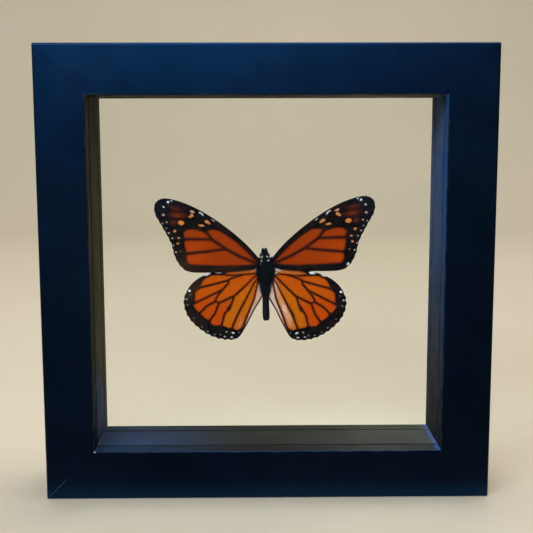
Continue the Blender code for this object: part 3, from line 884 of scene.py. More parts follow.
def model_bar(side, outer_face, face, front, back, outer_round, inner_round, corner_round, rebate=None):
    """One mitred side of the frame. rebate holds the step's width and the depth where it starts."""
    reach = half_length(side)
    bar = add_block(Vector((-reach, front, -outer_face - face)), Vector((reach, back, -outer_face)))
    if rebate is not None:
        step_width, step_start = rebate
        spare = 2 * MM
        cutter = add_block(
            Vector((-reach - spare, step_start, -outer_face - face - spare)),
            Vector((reach + spare, back + spare, -outer_face - face + step_width)),
        )
        cut = bar.modifiers.new("Rebate", "BOOLEAN")
        cut.operation = "DIFFERENCE"
        cut.object = cutter
        cut.solver = "EXACT"
        apply_modifiers(bar)
        bpy.data.objects.remove(cutter)
    make_active(bar)
    bpy.ops.object.mode_set(mode="EDIT")
    for height, rounding, segments in ((-outer_face, outer_round, 4), (-outer_face - face, inner_round, 3)):
        select_edges(bar, lambda middle, way: abs(way.x) > 0.999 and abs(middle.z - height) < FIT_GAP)
        bpy.ops.mesh.bevel(offset=rounding, segments=segments, affect="EDGES")
    cut_mitres(side, outer_face, corner_round)
    bpy.ops.mesh.select_all(action="SELECT")
    bpy.ops.mesh.normals_make_consistent(inside=False)
    bpy.ops.object.mode_set(mode="OBJECT")
    bar.matrix_world = side_place(side)
    apply_place(bar)
    smooth_piece(bar)
    return bar


# Wings


def curve_point(knots, share):
    """A point on the smooth curve through four knots, between the middle two."""
    p0, p1, p2, p3 = knots
    bend = (2 * p0 - 5 * p1 + 4 * p2 - p3) * share ** 2 + (3 * p1 - p0 - 3 * p2 + p3) * share ** 3
    return 0.5 * (2 * p1 + (p2 - p0) * share + bend)


def walked_length(line):
    """How far along a line each of its points lies."""
    return np.concatenate([[0.0], np.cumsum(np.linalg.norm(np.diff(line, axis=0), axis=1))])


def smooth_line(points, count, before, after):
    """Evenly spaced points on a smooth curve, a stretch of a longer one through before and after."""
    knots = np.array([before, *points, after], dtype=float)
    dense = []
    for index in range(1, len(knots) - 2):
        for share in np.linspace(0.0, 1.0, 40, endpoint=index == len(knots) - 3):
            dense.append(curve_point(knots[index - 1:index + 3], share))
    dense = np.array(dense)
    walked = walked_length(dense)
    wanted = np.linspace(0.0, walked[-1], count)
    return np.stack([np.interp(wanted, walked, dense[:, axis]) for axis in (0, 1)], axis=1)


def segment_distance(points, start, end):
    """Distance in millimetres from each point to one straight stretch."""
    start, end = np.array(start), np.array(end)
    along = end - start
    share = np.clip(((points - start) @ along) / max(along @ along, 1e-9), 0.0, 1.0)
    return np.linalg.norm(points - start - share[:, None] * along, axis=1)


def line_distance(points, line):
    return np.min([segment_distance(points, a, b) for a, b in zip(line[:-1], line[1:])], axis=0)


def field_distance(points, outline):
    """Distance to a closed line, below zero inside it."""
    ring = np.vstack([outline, outline[:1]])
    inside = np.zeros(len(points), dtype=bool)
    for (x0, y0), (x1, y1) in zip(ring[:-1], ring[1:]):
        crosses = (y0 > points[:, 1]) != (y1 > points[:, 1])
        with np.errstate(divide="ignore", invalid="ignore"):
            inside ^= crosses & (points[:, 0] < (x1 - x0) * (points[:, 1] - y0) / (y1 - y0) + x0)
    distance = line_distance(points, ring)
    return np.where(inside, -distance, distance)


def oval_reach(points, spot):
    """How far out of an oval each point is: 0 at its middle and 1 on its edge."""
    tilt = math.radians(spot.tilt)
    offset = points - np.array((spot.across, spot.up))
    along = offset @ np.array((math.cos(tilt), math.sin(tilt)))
    beside = offset @ np.array((-math.sin(tilt), math.cos(tilt)))
    return np.hypot(along / (spot.length / 2), beside / (spot.width / 2))


def soft_patches(points, patches):
    """0 to 1, strongest in the middle of each patch."""
    total = np.zeros(len(points))
    for patch in patches:
        total = np.maximum(total, patch.strength * np.exp(-1.4 * oval_reach(points, patch) ** 2))
    return total


def soft_minimum(first, second, reach):
    """The smaller of two distances, rounded off where they meet."""
    share = np.clip(0.5 + 0.5 * (second - first) / reach, 0.0, 1.0)
    return second * (1 - share) + first * share - reach * share * (1 - share)


def smooth_step(values, low, high):
    share = np.clip((values - low) / (high - low), 0.0, 1.0)
    return share * share * (3 - 2 * share)


def scalloped(line, depth):
    """The outer margin with a shallow bay every few millimetres, cut inwards."""
    step = np.gradient(line, axis=0)
    outward = np.stack([step[:, 1], -step[:, 0]], axis=1)
    outward /= np.linalg.norm(outward, axis=1)[:, None]
    walked = walked_length(line)
    wave = 0.5 - 0.5 * np.cos(2 * math.pi * walked / SCALLOP_LENGTH)
    ends = np.minimum(1.0, np.minimum(walked, walked[-1] - walked) / SCALLOP_LENGTH)
    return line - outward * (depth * wave * ends)[:, None]


def wing_net(kind):
    """Points in millimetres that fill a wing evenly between its four edges."""
    edges = WING_EDGES[kind]
    columns, rows = WING_GRIDS[kind]
    leading, outer, trailing = edges["leading"], edges["outer"], edges["trailing"]
    top = smooth_line(leading, columns, trailing[0], outer[-2])
    side = scalloped(smooth_line(outer, rows, trailing[-2], leading[-2]), SCALLOP_DEPTHS[kind])
    low = smooth_line(trailing, columns, leading[0], outer[1])
    root = np.linspace(trailing[0], leading[0], rows)
    u = np.linspace(0.0, 1.0, columns)[None, :, None]
    v = np.linspace(0.0, 1.0, rows)[:, None, None]
    corners = ((1 - u) * (1 - v) * low[0] + u * (1 - v) * low[-1] + (1 - u) * v * top[0] + u * v * top[-1])
    net = (1 - v) * low[None] + v * top[None] + (1 - u) * root[:, None] + u * side[:, None] - corners
    return net.reshape(-1, 2)


def vein_distance(kind, side, points):
    """Distance to the nearest vein's edge. The hindwing's veins are thinner towards the body."""
    width = 1.0
    if kind == "hindwing":
        width = 0.6 + 0.4 * smooth_step(np.linalg.norm(points, axis=1), 5, 21)
    distances = [line_distance(points, vein.line) - width * vein.half_width for vein in WING_VEINS[kind]]
    veins = np.min(distances, axis=0)
    for scent in SCENT_PATCHES.get((kind, side), ()):
        reach = (oval_reach(points, scent) - 1.0) * min(scent.length, scent.width) / 2
        veins = soft_minimum(veins, reach, 0.5)
    return veins


def hindwing_marks(side, points, marks):
    """Add the hindwing's amber, its pale fold and, on the right, its worn cell."""
    across, up = points[:, 0], points[:, 1]
    amber = np.min([field_distance(points, field) for field in AMBER_FIELDS], axis=0)
    outer_cells = smooth_step(across - 0.7 * up, 24, 34) * smooth_step(up, -9, -17)
    marks["tone"] = np.maximum(smooth_step(-amber, -0.4, 0.8), 0.5 - 0.5 * outer_cells)
    worn = float(side == "right")
    cell = smooth_step(-field_distance(points, FADED_CELL), -0.3, 0.4)
    marks["faded"] = worn * cell * (1 - smooth_step(up, -21, -28))
    marks["rubbed"] = worn * soft_patches(points, RUBBED_PATCHES)
    fold = smooth_step(-field_distance(points, PALE_FOLD), -0.3, 0.5)
    fold *= PALE_FOLD_STRENGTHS[side] * (1 - 0.6 * smooth_step(up, -17, -28))
    streak = worn * soft_patches(points, PALE_STREAK)
    marks["patch"] = np.max([marks["patch"], fold, streak], axis=0)


def wing_marks(kind, side, points):
    """The pattern as one value per point and name; distances are in millimetres."""
    across, up = points[:, 0], points[:, 1]
    veins = vein_distance(kind, side, points)
    field = field_distance(points, ORANGE_FIELDS[kind])
    spots = WING_SPOTS[kind, side]
    reaches = np.stack([(oval_reach(points, spot) - 1.0) * spot.width / 2 for spot in spots])
    nearest = np.argmin(reaches, axis=0)
    marks = {
        "vein": veins,
        "field": field,
        "dark": soft_minimum(veins, -field, 1.1),
        "spot": np.min(reaches, axis=0),
        "warmth": np.array([spot.warmth for spot in spots])[nearest],
        "strength": np.array([spot.strength for spot in spots])[nearest],
        "patch": soft_patches(points, WING_PATCHES[kind]),
        # A painted brown sheen on the left wings' dark scales
        "brown_sheen": float(side == "left") * soft_patches(points, BROWN_SHEEN_PATCHES[kind]),
    }
    if kind == "forewing":
        marks["tone"] = smooth_step(across, 20, 33) * smooth_step(up, 15, 9)
        # The forewing's tip, where the upper side's black gets a painted blue sheen and the under side its
        # tan
        marks["bloom"] = smooth_step(across + up, 56, 72)
    else:
        hindwing_marks(side, points, marks)
    return marks


def wing_relief(points, marks, settings):
    """Height in metres of the upper side: raised veins, slack membrane and a slight warp."""
    away = np.maximum(marks["vein"], 0.0)
    ridge = settings.vein_height * np.exp(-((marks["vein"] + 0.3) / 0.32).clip(0.0) ** 2)
    slack = -settings.slack * (1 - np.exp(-away / 1.6))
    across, up = points[:, 0], points[:, 1]
    warp = settings.warp * (np.sin(across * 0.11 + up * 0.07) - np.cos(up * 0.16 - across * 0.05))
    return ridge + slack + warp * smooth_step(across, 3, 16)


def wing_place(kind, side):
    sign = SIDES[side]
    turn = Euler((math.radians(90), -WING_SWEEPS[kind], -sign * WING_LIFT)).to_matrix().to_4x4()
    return Matrix.Translation(THORAX - Vector((0.0, WING_DEPTHS[kind], 0.0))) @ turn


def model_wing(kind, side, settings):
    """A fine grid drawn out to the wing's outline, with its relief, its pattern and a thickness."""
    columns, rows = WING_GRIDS[kind]
    points = wing_net(kind)
    marks = wing_marks(kind, side, points)
    heights = wing_relief(points, marks, settings)
    clear_selection()
    bpy.ops.mesh.primitive_grid_add(x_subdivisions=columns - 1, y_subdivisions=rows - 1, size=1.0)
    wing = bpy.context.object
    mesh = wing.data
    sign = SIDES[side]
    places = np.stack([sign * points[:, 0] * MM, points[:, 1] * MM, heights], axis=1)
    mesh.vertices.foreach_set("co", places.ravel())
    for name, values in marks.items():
        mesh.attributes.new(name, "FLOAT", "POINT").data.foreach_set("value", values.astype(np.float32))
    mesh.update()
    if mesh.polygons[len(mesh.polygons) // 2].normal.z < 0:
        mesh.flip_normals()
    shell = wing.modifiers.new("Thickness", "SOLIDIFY")
    shell.thickness = settings.thickness
    shell.offset = 0.0
    apply_modifiers(wing)
    wing.matrix_world = wing_place(kind, side)
    apply_place(wing)
    bpy.ops.object.shade_smooth()
    return wing


# Body


def body_place():
    return Matrix.Translation(THORAX) @ Matrix.Rotation(BODY_LEAN, 4, "Y")


def body_bend(heights):
    """How far the dried body curves to the left of its axis, in millimetres, head and tail most."""
    return -0.3 * (1.0 - np.exp(-(heights / 6.0) ** 2))


def body_radius(height):
    """Half width of the body in millimetres at a height in millimetres."""
    heights = [point[1] for point in BODY_PROFILE][::-1]
    radii = [point[0] for point in BODY_PROFILE][::-1]
    return np.interp(height, heights, radii)


def on_side(place, sign):
    """A place of the right side, or its mirror image on the left."""
    return (sign * place[0], *place[1:])


def add_ball(radii, centre, tilt=0.0, segments=32, rings=20):
    """An egg shape; sizes and place in millimetres from the thorax centre."""
    clear_selection()
    bpy.ops.mesh.primitive_uv_sphere_add(segments=segments, ring_count=rings, radius=1.0)
    ball = bpy.context.object
    shape = Matrix.Diagonal((*[radius * MM for radius in radii], 1.0))
    ball.data.transform(Matrix.Translation(Vector(centre) * MM) @ Matrix.Rotation(tilt, 4, "Y") @ shape)
    return ball


def model_core():
    """The skin under the hair: head, thorax and a ringed abdomen."""
    clear_selection()
    bpy.ops.mesh.primitive_uv_sphere_add(segments=48, ring_count=120, radius=1.0)
    core = bpy.context.object
    top, bottom = BODY_PROFILE[0][1], BODY_PROFILE[-1][1]
    for corner in core.data.vertices:
        polar = math.acos(max(-1.0, min(1.0, corner.co.z)))
        height = top + (bottom - top) * polar / math.pi
        around = math.atan2(corner.co.y, corner.co.x)
        radius = float(body_radius(height))
        if height < RINGED_BELOW:
            radius *= 1.02 + 0.05 * abs(math.sin(math.pi * (height - RINGED_BELOW) / RING_LENGTH))
        depth = radius * BODY_FLATNESS * math.sin(around)
        corner.co = Vector((radius * math.cos(around), depth, height)) * MM
    return core


def bend_piece(item):
    """Move a piece of the body sideways with the curve of its axis."""
    places = np.empty(len(item.data.vertices) * 3)
    item.data.vertices.foreach_get("co", places)
    places = places.reshape(-1, 3)
    places[:, 0] += body_bend(places[:, 2] / MM) * MM
    item.data.vertices.foreach_set("co", places.ravel())
    item.data.update()


def set_place(item, name, materials):
    bend_piece(item)
    item.matrix_world = body_place()
    apply_place(item)
    face_outwards(item)
    bpy.ops.object.shade_smooth()
    finish_piece(item, name, ["body"], materials)


def tapered_tube(name, points, radii):
    """A closed round stem through points in metres, with a radius at each."""
    curve = bpy.data.curves.new(name, "CURVE")
    curve.dimensions = "3D"
    curve.bevel_depth = 1.0
    curve.bevel_resolution = 3
    curve.use_fill_caps = True
    spline = curve.splines.new("POLY")
    spline.points.add(len(points) - 1)
    for place, point, radius in zip(spline.points, points, radii):
        place.co = (*point, 1.0)
        place.radius = radius
    stem = bpy.data.objects.new(name, curve)
    bpy.context.collection.objects.link(stem)
    make_active(stem)
    bpy.ops.object.convert(target="MESH")
    face_outwards(stem, 0.001 * MM)
    return stem


def spline_points(points, count):
    """Points in metres along a smooth curve through places in millimetres."""
    knots = [Vector(point) * MM for point in points]
    knots = [2 * knots[0] - knots[1], *knots, 2 * knots[-1] - knots[-2]]
    result = []
    for index in range(count):
        share = index / (count - 1) * (len(points) - 1)
        start = min(int(share), len(points) - 2)
        result.append(curve_point(knots[start:start + 4], share - start))
    return result


def taper(ends, share):
    first, last = ends
    return first + (last - first) * share


def model_leg(pair, side):
    """A folded leg with swollen joints."""
    path = [on_side(place, SIDES[side]) for place in LEG_PATHS[pair]]
    radii = []
    for step in range(LEG_STEPS):
        share = step / (LEG_STEPS - 1)
        joint = abs(math.sin(math.pi * share * (len(path) - 1)))
        radii.append(MM * taper(LEG_RADII, share) * (0.78 + 0.22 * joint))
    return tapered_tube(f"leg_{pair}_{side}", spline_points(path, LEG_STEPS), radii)


def model_tongue():
    """The coiled tongue under the head."""
    back, up = TONGUE_CENTRE
    coil = []
    radii = []
    for step in range(TONGUE_STEPS):
        share = step / (TONGUE_STEPS - 1)
        angle = math.radians(-60) + 2 * math.pi * TONGUE_TURNS * share
        reach = taper(TONGUE_REACHES, share)
        coil.append(Vector((0.0, back + reach * math.cos(angle), up + reach * math.sin(angle))) * MM)
        radii.append(taper(TONGUE_RADII, share) * MM)
    return tapered_tube("tongue", coil, radii)


# Hair


def hair_shape(hairs):
    """Many thin curved hairs as one mesh: three sides, bent at half length.

    Each hair is its root, its direction, its length, its width and its bend, with lengths in
    millimetres.
    """
    roots, directions, lengths, widths, bend = (np.array(column) for column in zip(*hairs))
    roots, lengths, widths = roots * MM, lengths * MM, widths * MM
    count = len(roots)
    directions = directions / np.linalg.norm(directions, axis=1)[:, None]
    helper = np.where(np.abs(directions[:, 2:3]) > 0.9, (1.0, 0.0, 0.0), (0.0, 0.0, 1.0))
    beside = np.cross(directions, helper)
    beside /= np.linalg.norm(beside, axis=1)[:, None]
    other = np.cross(directions, beside)
    corners = []
    for share, thickness in ((0.0, 1.0), (0.5, 0.75)):
        centre = roots + directions * (lengths * share)[:, None] + bend * (lengths * share * share)[:, None]
        for step in range(3):
            angle = 2 * math.pi * step / 3
            ring = math.cos(angle) * beside + math.sin(angle) * other
            corners.append(centre + ring * (widths * thickness / 2)[:, None])
    corners.append(roots + directions * lengths[:, None] + bend * lengths[:, None])
    vertices = np.stack(corners, axis=1).reshape(-1, 3)
    faces = []
    for hair in range(count):
        first = hair * 7
        for step in range(3):
            after = (step + 1) % 3
            faces.append((first + step, first + after, first + 3 + after, first + 3 + step))
            faces.append((first + 3 + step, first + 3 + after, first + 6))
        faces.append((first + 2, first + 1, first))
    mesh = bpy.data.meshes.new("hair")
    mesh.from_pydata(vertices.tolist(), [], faces)
    return mesh


def surface_point(height, around, lift):
    """A place on the body and the direction straight out of it, in millimetres."""
    radius = float(body_radius(height))
    slope = float(body_radius(height + 0.2) - body_radius(height - 0.2)) / 0.4
    side = np.array((math.cos(around), math.sin(around) / BODY_FLATNESS, -slope))
    side /= np.linalg.norm(side)
    place = np.array((radius * math.cos(around), radius * BODY_FLATNESS * math.sin(around), height))
    return place + side * lift, side


def random_way(dice, size):
    return np.array([dice.gauss(0.0, size) for _ in range(3)])


def body_hair(settings):
    """Hair all over the body: long on the thorax, short on the head, flat on the abdomen."""
    dice = random.Random(11)
    hairs = []
    for _ in range(settings.hair_count):
        height = dice.uniform(*HAIR_SPAN)
        radius = float(body_radius(height))
        # Fewer hairs where the body is slim
        if dice.random() > (radius + 0.5) / 4.2:
            continue
        around = dice.uniform(0.0, 2 * math.pi)
        place, out = surface_point(height, around, -0.05)
        on_thorax = 1.0 - smooth_step(height, *WAIST)
        on_head = smooth_step(height, *NECK)
        length = ABDOMEN_HAIR + on_thorax * (THORAX_HAIR - ABDOMEN_HAIR) - on_head * (THORAX_HAIR - HEAD_HAIR)
        fold = 0.38 + 0.4 * (1 - on_thorax)
        towards = np.array((0.0, 0.0, 1.0 if on_head > 0.5 else -1.0))
        way = out * (1.05 - fold) + towards * fold + random_way(dice, 0.22)
        length *= dice.uniform(0.7, 1.25)
        hairs.append((place, way, length, dice.uniform(0.05, 0.085), towards * 0.25))
    for _ in range(settings.palp_hair_count):
        sign = dice.choice((-1, 1))
        way = random_way(dice, 1.0)
        way /= np.linalg.norm(way)
        root = on_side(PALP_CENTRE, sign) + way * PALP_RADII
        length = dice.uniform(0.25, 0.5)
        hairs.append((root, way + (0.0, 0.0, 0.9), length, dice.uniform(0.05, 0.08), (0.0, 0.0, 0.2)))
    return hair_shape(hairs)


def tuft_hair():
    """Small tufts of short white scales."""
    dice = random.Random(5)
    hairs = []
    for across, height, count in WHITE_TUFTS:
        radius = float(body_radius(height))
        around = -math.acos(max(-1.0, min(1.0, across / radius)))
        for _ in range(count):
            up = height + dice.gauss(0.0, 0.15)
            place, out = surface_point(up, around + dice.gauss(0.0, 0.15) / radius, 0.12)
            way = out + random_way(dice, 0.35)
            length = dice.uniform(0.3, 0.48)
            hairs.append((place, way, length, dice.uniform(0.1, 0.15), (0.0, 0.0, 0.0)))
    return hair_shape(hairs)


# Stage

PAPER_REACH = 3.0
PAPER_SEAM = LOW.y - 12 * MM
SWEEP_START = 1.1
SWEEP_RADIUS = 0.6
SWEEP_STEPS = 16
BACKDROP_HEIGHT = 1.8

# The photograph's own viewpoint, a little left of the middle and looking slightly down: its place
# in millimetres, its turns in degrees and its lens
CAMERA_PLACE = (-4.71, -411.86, 155.03)
CAMERA_YAW = 0.627
CAMERA_PITCH = 7.879
CAMERA_ROLL = -0.139
CAMERA_LENS = 64.376
CAMERA_SENSOR = 36.0


def add_paper(name, front, back):
    """A sheet of paper on the floor, from one depth to another."""
    clear_selection()
    bpy.ops.mesh.primitive_plane_add(size=1.0, location=(0.0, (front + back) / 2, 0.0))
    paper = bpy.context.object
    paper.scale = (2 * PAPER_REACH, back - front, 1.0)
    paper.name = name
    apply_place(paper)
    return paper


def model_backdrop():
    """A sheet that lies under the frame and sweeps up behind it."""
    floor = add_paper("paper_sweep", PAPER_SEAM, SWEEP_START)
    bpy.ops.object.mode_set(mode="EDIT")
    angle = math.radians(90) / SWEEP_STEPS
    for step in range(SWEEP_STEPS):
        select_edges(floor, lambda middle, way: is_rear_edge(floor, middle))
        slope = angle * (step + 0.5)
        length = 2 * SWEEP_RADIUS * math.sin(angle / 2)
        move = (0.0, math.cos(slope) * length, math.sin(slope) * length)
        bpy.ops.mesh.extrude_edges_move(TRANSFORM_OT_translate={"value": move})
    select_edges(floor, lambda middle, way: is_rear_edge(floor, middle))
    bpy.ops.mesh.extrude_edges_move(TRANSFORM_OT_translate={"value": (0.0, 0.0, BACKDROP_HEIGHT)})
    bpy.ops.object.mode_set(mode="OBJECT")
    bpy.ops.object.shade_smooth()
    return floor


def is_rear_edge(floor, middle):
    shape = bmesh.from_edit_mesh(floor.data)
    last = max(shape.verts, key=lambda corner: round(corner.co.y + corner.co.z, 6))
    return abs(middle.y - last.co.y) < 1e-5 and abs(middle.z - last.co.z) < 1e-5


def add_light(name, place, target, size, power, color):
    light = bpy.data.lights.new(name, "AREA")
    light.shape = "RECTANGLE"
    light.size, light.size_y = size
    light.energy = power
    light.color = color
    item = bpy.data.objects.new(name, light)
    bpy.context.collection.objects.link(item)
    item.location = place
    item.rotation_euler = (Vector(target) - Vector(place)).to_track_quat("-Z", "Y").to_euler()


def add_camera(context):
    camera = bpy.data.cameras.new("camera")
    camera.sensor_width = CAMERA_SENSOR
    camera.lens = CAMERA_LENS
    camera.clip_start = 0.01
    item = bpy.data.objects.new("camera", camera)
    context.collection.objects.link(item)
    turn = Matrix.Rotation(math.radians(-CAMERA_YAW), 4, "Z")
    turn @= Matrix.Rotation(math.radians(90 - CAMERA_PITCH), 4, "X")
    turn @= Matrix.Rotation(math.radians(CAMERA_ROLL), 4, "Z")
    item.matrix_world = Matrix.Translation(Vector(CAMERA_PLACE) * MM) @ turn
    context.scene.camera = item


# Settings


def length_setting(name, description, default):
    return FloatProperty(
        name=name, description=description, default=default, min=0.0, unit="LENGTH", precision=5
    )


def color_setting(name, description, default):
    return FloatVectorProperty(
        name=name, description=description, default=default, size=3, min=0.0, max=1.0, subtype="COLOR"
    )


def level_setting(name, description, default):
    return FloatProperty(
        name=name, description=description, default=default, min=0.0, max=1.0, subtype="FACTOR"
    )


def power_setting(name, description, default):
    return FloatProperty(name=name, description=description, default=default, min=0.0, unit="POWER")


def count_setting(name, description, default):
    return IntProperty(name=name, description=description, default=default, min=1)


class FrameSettings(bpy.types.PropertyGroup):
    outer_round: length_setting("Outer rounding", "Radius of the rails' outer long edges", 1.0 * MM)
    inner_round: length_setting("Inner rounding", "Radius of the rails' inner long edges", 0.5 * MM)
    corner_round: length_setting("Corner rounding", "Radius of the frame's four outer corners", 1.2 * MM)
    paint: color_setting("Paint", "Deepest colour of the rails' paint", (0.0019, 0.0022, 0.0027))
    paint_light: color_setting(
        "Paint, light", "Lightest colour of the rails' paint", (0.0032, 0.0036, 0.0042)
    )
    # The front faces' specular tint and level paint a blue reflection of the window on them
    painted_reflection_tint: color_setting("Reflection", "Colour of the front faces' blue bloom", (0.02, 0.31, 1.0))
    painted_reflection_level: level_setting("Bloom level", "Strength of the front faces' bloom", 0.8)
    sheen_tint: color_setting("Sheen", "Colour of the other faces' sheen", (0.55, 0.72, 1.0))
    sheen_level: level_setting("Sheen level", "Strength of the other faces' sheen", 0.25)
    paint_roughness: level_setting("Paint roughness", "How satin the rails are", 0.31)
    strip_paint: color_setting("Strip paint", "Deepest colour of the strips' paint", (0.011, 0.0115, 0.0095))
    strip_light: color_setting(
        "Strip paint, light", "Lightest colour of the strips' paint", (0.021, 0.0215, 0.0175)
    )
    # The wall and lip casts are the room's warm and cool light painted on the inner faces
    warm_wall_light: color_setting("Warm wall", "Cast of the left and top inner walls", (0.050, 0.040, 0.018))
    cool_wall_light: color_setting(
        "Cool wall", "Cast of the right wall and the low left corner", (0.0175, 0.036, 0.088)
    )
    warm_lip_light: color_setting("Warm lip", "Cast of the lip's left and top inner faces", (0.026, 0.021, 0.010))
    cool_lip_light: color_setting(
        "Cool lip", "Cast of the lip's right and bottom inner faces", (0.006, 0.050, 0.175)
    )
    strip_roughness: level_setting("Strip roughness", "How satin the inner walls are", 0.6)


class GlassSettings(bpy.types.PropertyGroup):
    tint: color_setting("Tint", "Faint cast of the glass", (0.97, 0.985, 0.975))


class WingSettings(bpy.types.PropertyGroup):
    thickness: length_setting("Thickness", "Thickness of a wing with its scales", 0.12 * MM)
    vein_height: length_setting("Vein height", "How far a vein stands above the membrane", 0.09 * MM)
    slack: length_setting("Slack", "How far the membrane sags between veins", 0.07 * MM)
    warp: length_setting("Warp", "How far a dried wing is out of flat", 0.12 * MM)
    fore_orange: color_setting("Forewing orange", "Deep orange of the forewing", (0.195, 0.0205, 0.0003))
    fore_bright: color_setting(
        "Forewing bright", "Brighter orange at the lower outer cells", (0.25, 0.0275, 0.0003)
    )
    hind_deep: color_setting(
        "Hindwing deep", "Deep orange of the hindwing's outer cells", (0.315, 0.038, 0.0003)
    )
    hind_orange: color_setting("Hindwing orange", "Orange of most of the hindwing", (0.315, 0.049, 0.0003))
    hind_amber: color_setting("Hindwing amber", "Amber of the hindwing's inner cells", (0.325, 0.072, 0.0008))
    black: color_setting("Black", "Black of the borders", (0.0018, 0.0016, 0.0022))
    # The brown black is the brown of the borders' blotches and also the painted brown sheen on the left wings
    brown_black_and_sheen: color_setting("Brown black", "Brown cast of the borders", (0.020, 0.009, 0.0045))
    vein: color_setting("Vein", "Dark maroon of the veins", (0.022, 0.0036, 0.0016))
    red_edge: color_setting("Red edge", "Dark red where orange meets black", (0.11, 0.011, 0.001))
    dusky: color_setting("Dusky", "Red-brown clouding in the dark tip", (0.094, 0.012, 0.0015))
    white: color_setting("White", "White scales", (0.58, 0.59, 0.63))
    rosy: color_setting("Rosy", "Pinkish pale scales", (0.50, 0.27, 0.17))
    apricot: color_setting("Apricot", "Pale orange scales", (0.44, 0.125, 0.018))
    pale: color_setting("Pale", "Pale fold beside the body", (0.46, 0.33, 0.27))
    faded: color_setting("Faded", "Worn scales of the right hindwing's faded cell", (0.46, 0.215, 0.092))


class BodySettings(bpy.types.PropertyGroup):
    hair_count: count_setting("Hairs", "How many hairs are tried over the body", 14000)
    palp_hair_count: count_setting("Palp hairs", "How many hairs stand on the two palps", 700)
    hair: color_setting("Hair", "Colour of most of the hair", (0.0028, 0.0044, 0.0075))
    hair_light: color_setting("Hair, light", "Colour of the lighter hairs", (0.0065, 0.0105, 0.0175))
    skin: color_setting("Skin", "Colour of the skin under the hair", (0.0032, 0.0034, 0.0042))


class StageSettings(bpy.types.PropertyGroup):
    floor: color_setting("Floor", "Colour of the paper floor and backdrop", (0.60, 0.53, 0.41))
    key_power: power_setting("Key light", "Power of the window-like light", 28.0)
    top_power: power_setting("Top light", "Power of the overhead light", 29.0)
    world_level: level_setting("Room light", "Strength of the even light from all round", 0.05)


# Operators


class MESH_OT_rails(bpy.types.Operator):
    """Model the four rails and paint them"""
    bl_idname = "mesh.butterfly_rails"
    bl_label = "Rails"
    bl_options = {"REGISTER", "UNDO"}

    def execute(self, context):
        settings = context.scene.frame_settings
        group_frame_edges()
        group_wall_light()
        # The front faces' copy of the paint has a painted blue reflection of the window in its specular tint;
        # the other faces' copy has a fainter bluish sheen
        front_paint = rail_paint_material(
            settings, "black paint front", settings.painted_reflection_tint, settings.painted_reflection_level
        )
        side_paint = rail_paint_material(
            settings, "black paint sides", settings.sheen_tint, settings.sheen_level
        )
        # The lip's inner faces get the room's warm and cool light painted on them
        lip_paint = strip_paint_material(
            settings, "black paint lip", settings.warm_lip_light, settings.cool_lip_light,
            Low_cool=0.45, Left_cool=0.1, Left_low=0.5, Left_high=3.6
        )
        paints = [front_paint, side_paint, lip_paint]
        for side in TURNS:
            rail = model_bar(side, 0.0, RAIL_FACE, LOW.y, HIGH.y, settings.outer_round, settings.inner_round,
                             settings.corner_round, (REBATE, LIP_END))
            finish_piece(rail, f"painted_rail_{side}", [f"rail_{side}"], paints)
            for polygon in rail.data.polygons:
                if faces_opening(polygon):
                    polygon.material_index = 2
                elif polygon.center.y > LOW.y + settings.outer_round:
                    polygon.material_index = 1
        return {"FINISHED"}


class MESH_OT_strips(bpy.types.Operator):
    """Model the spacers between the panes and the beads behind them"""
    bl_idname = "mesh.butterfly_strips"
    bl_label = "Spacers and beads"
    bl_options = {"REGISTER", "UNDO"}

    def execute(self, context):
        settings = context.scene.frame_settings
        # The inner walls get the room's warm and cool light painted on them
        paint = strip_paint_material(
            settings, "black strip paint", settings.warm_wall_light, settings.cool_wall_light, Left_low=1.4
        )
        outer_face = RAIL_FACE - REBATE + SEAT_GAP
        face = REBATE - SEAT_GAP
        runs = {
            "spacer": (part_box("spacer_top")[0].y - FIT_GAP + SEAT_GAP, BACK_GLASS_FRONT - SEAT_GAP),
            "bead": (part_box("back_glass")[1].y + SEAT_GAP, HIGH.y),
        }
        for kind, (front, back) in runs.items():
            for side in TURNS:
                strip = model_bar(side, outer_face, face, front, back, *STRIP_ROUNDS, 0.0)
                finish_piece(strip, f"painted_{kind}_{side}", [f"{kind}_{side}"], [paint])
        return {"FINISHED"}


class MESH_OT_panes(bpy.types.Operator):
    """Give the two panes their glass"""
    bl_idname = "mesh.butterfly_panes"
    bl_label = "Panes"
    bl_options = {"REGISTER", "UNDO"}

    def execute(self, context):
        glass = glass_material(context.scene.glass_settings)
        for name in ("front_glass", "back_glass"):
            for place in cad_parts[name].material_slots:
                place.material = glass
        return {"FINISHED"}


class MESH_OT_wings(bpy.types.Operator):
    """Model the four wings with their veins and scales"""
    bl_idname = "mesh.butterfly_wings"
    bl_label = "Wings"
    bl_options = {"REGISTER", "UNDO"}

    def execute(self, context):
        settings = context.scene.wing_settings
        group_ragged_mask()
        group_scale_rows()
        for kind in WING_EDGES:
            materials = [wing_material(kind, under, settings) for under in (False, True)]
            for side in SIDES:
                wing = model_wing(kind, side, settings)
                finish_piece(wing, f"scaled_{kind}_{side}", [f"{kind}_{side}"], materials)
                for polygon in wing.data.polygons:
                    polygon.material_index = int(polygon.normal.y > 0)
        return {"FINISHED"}


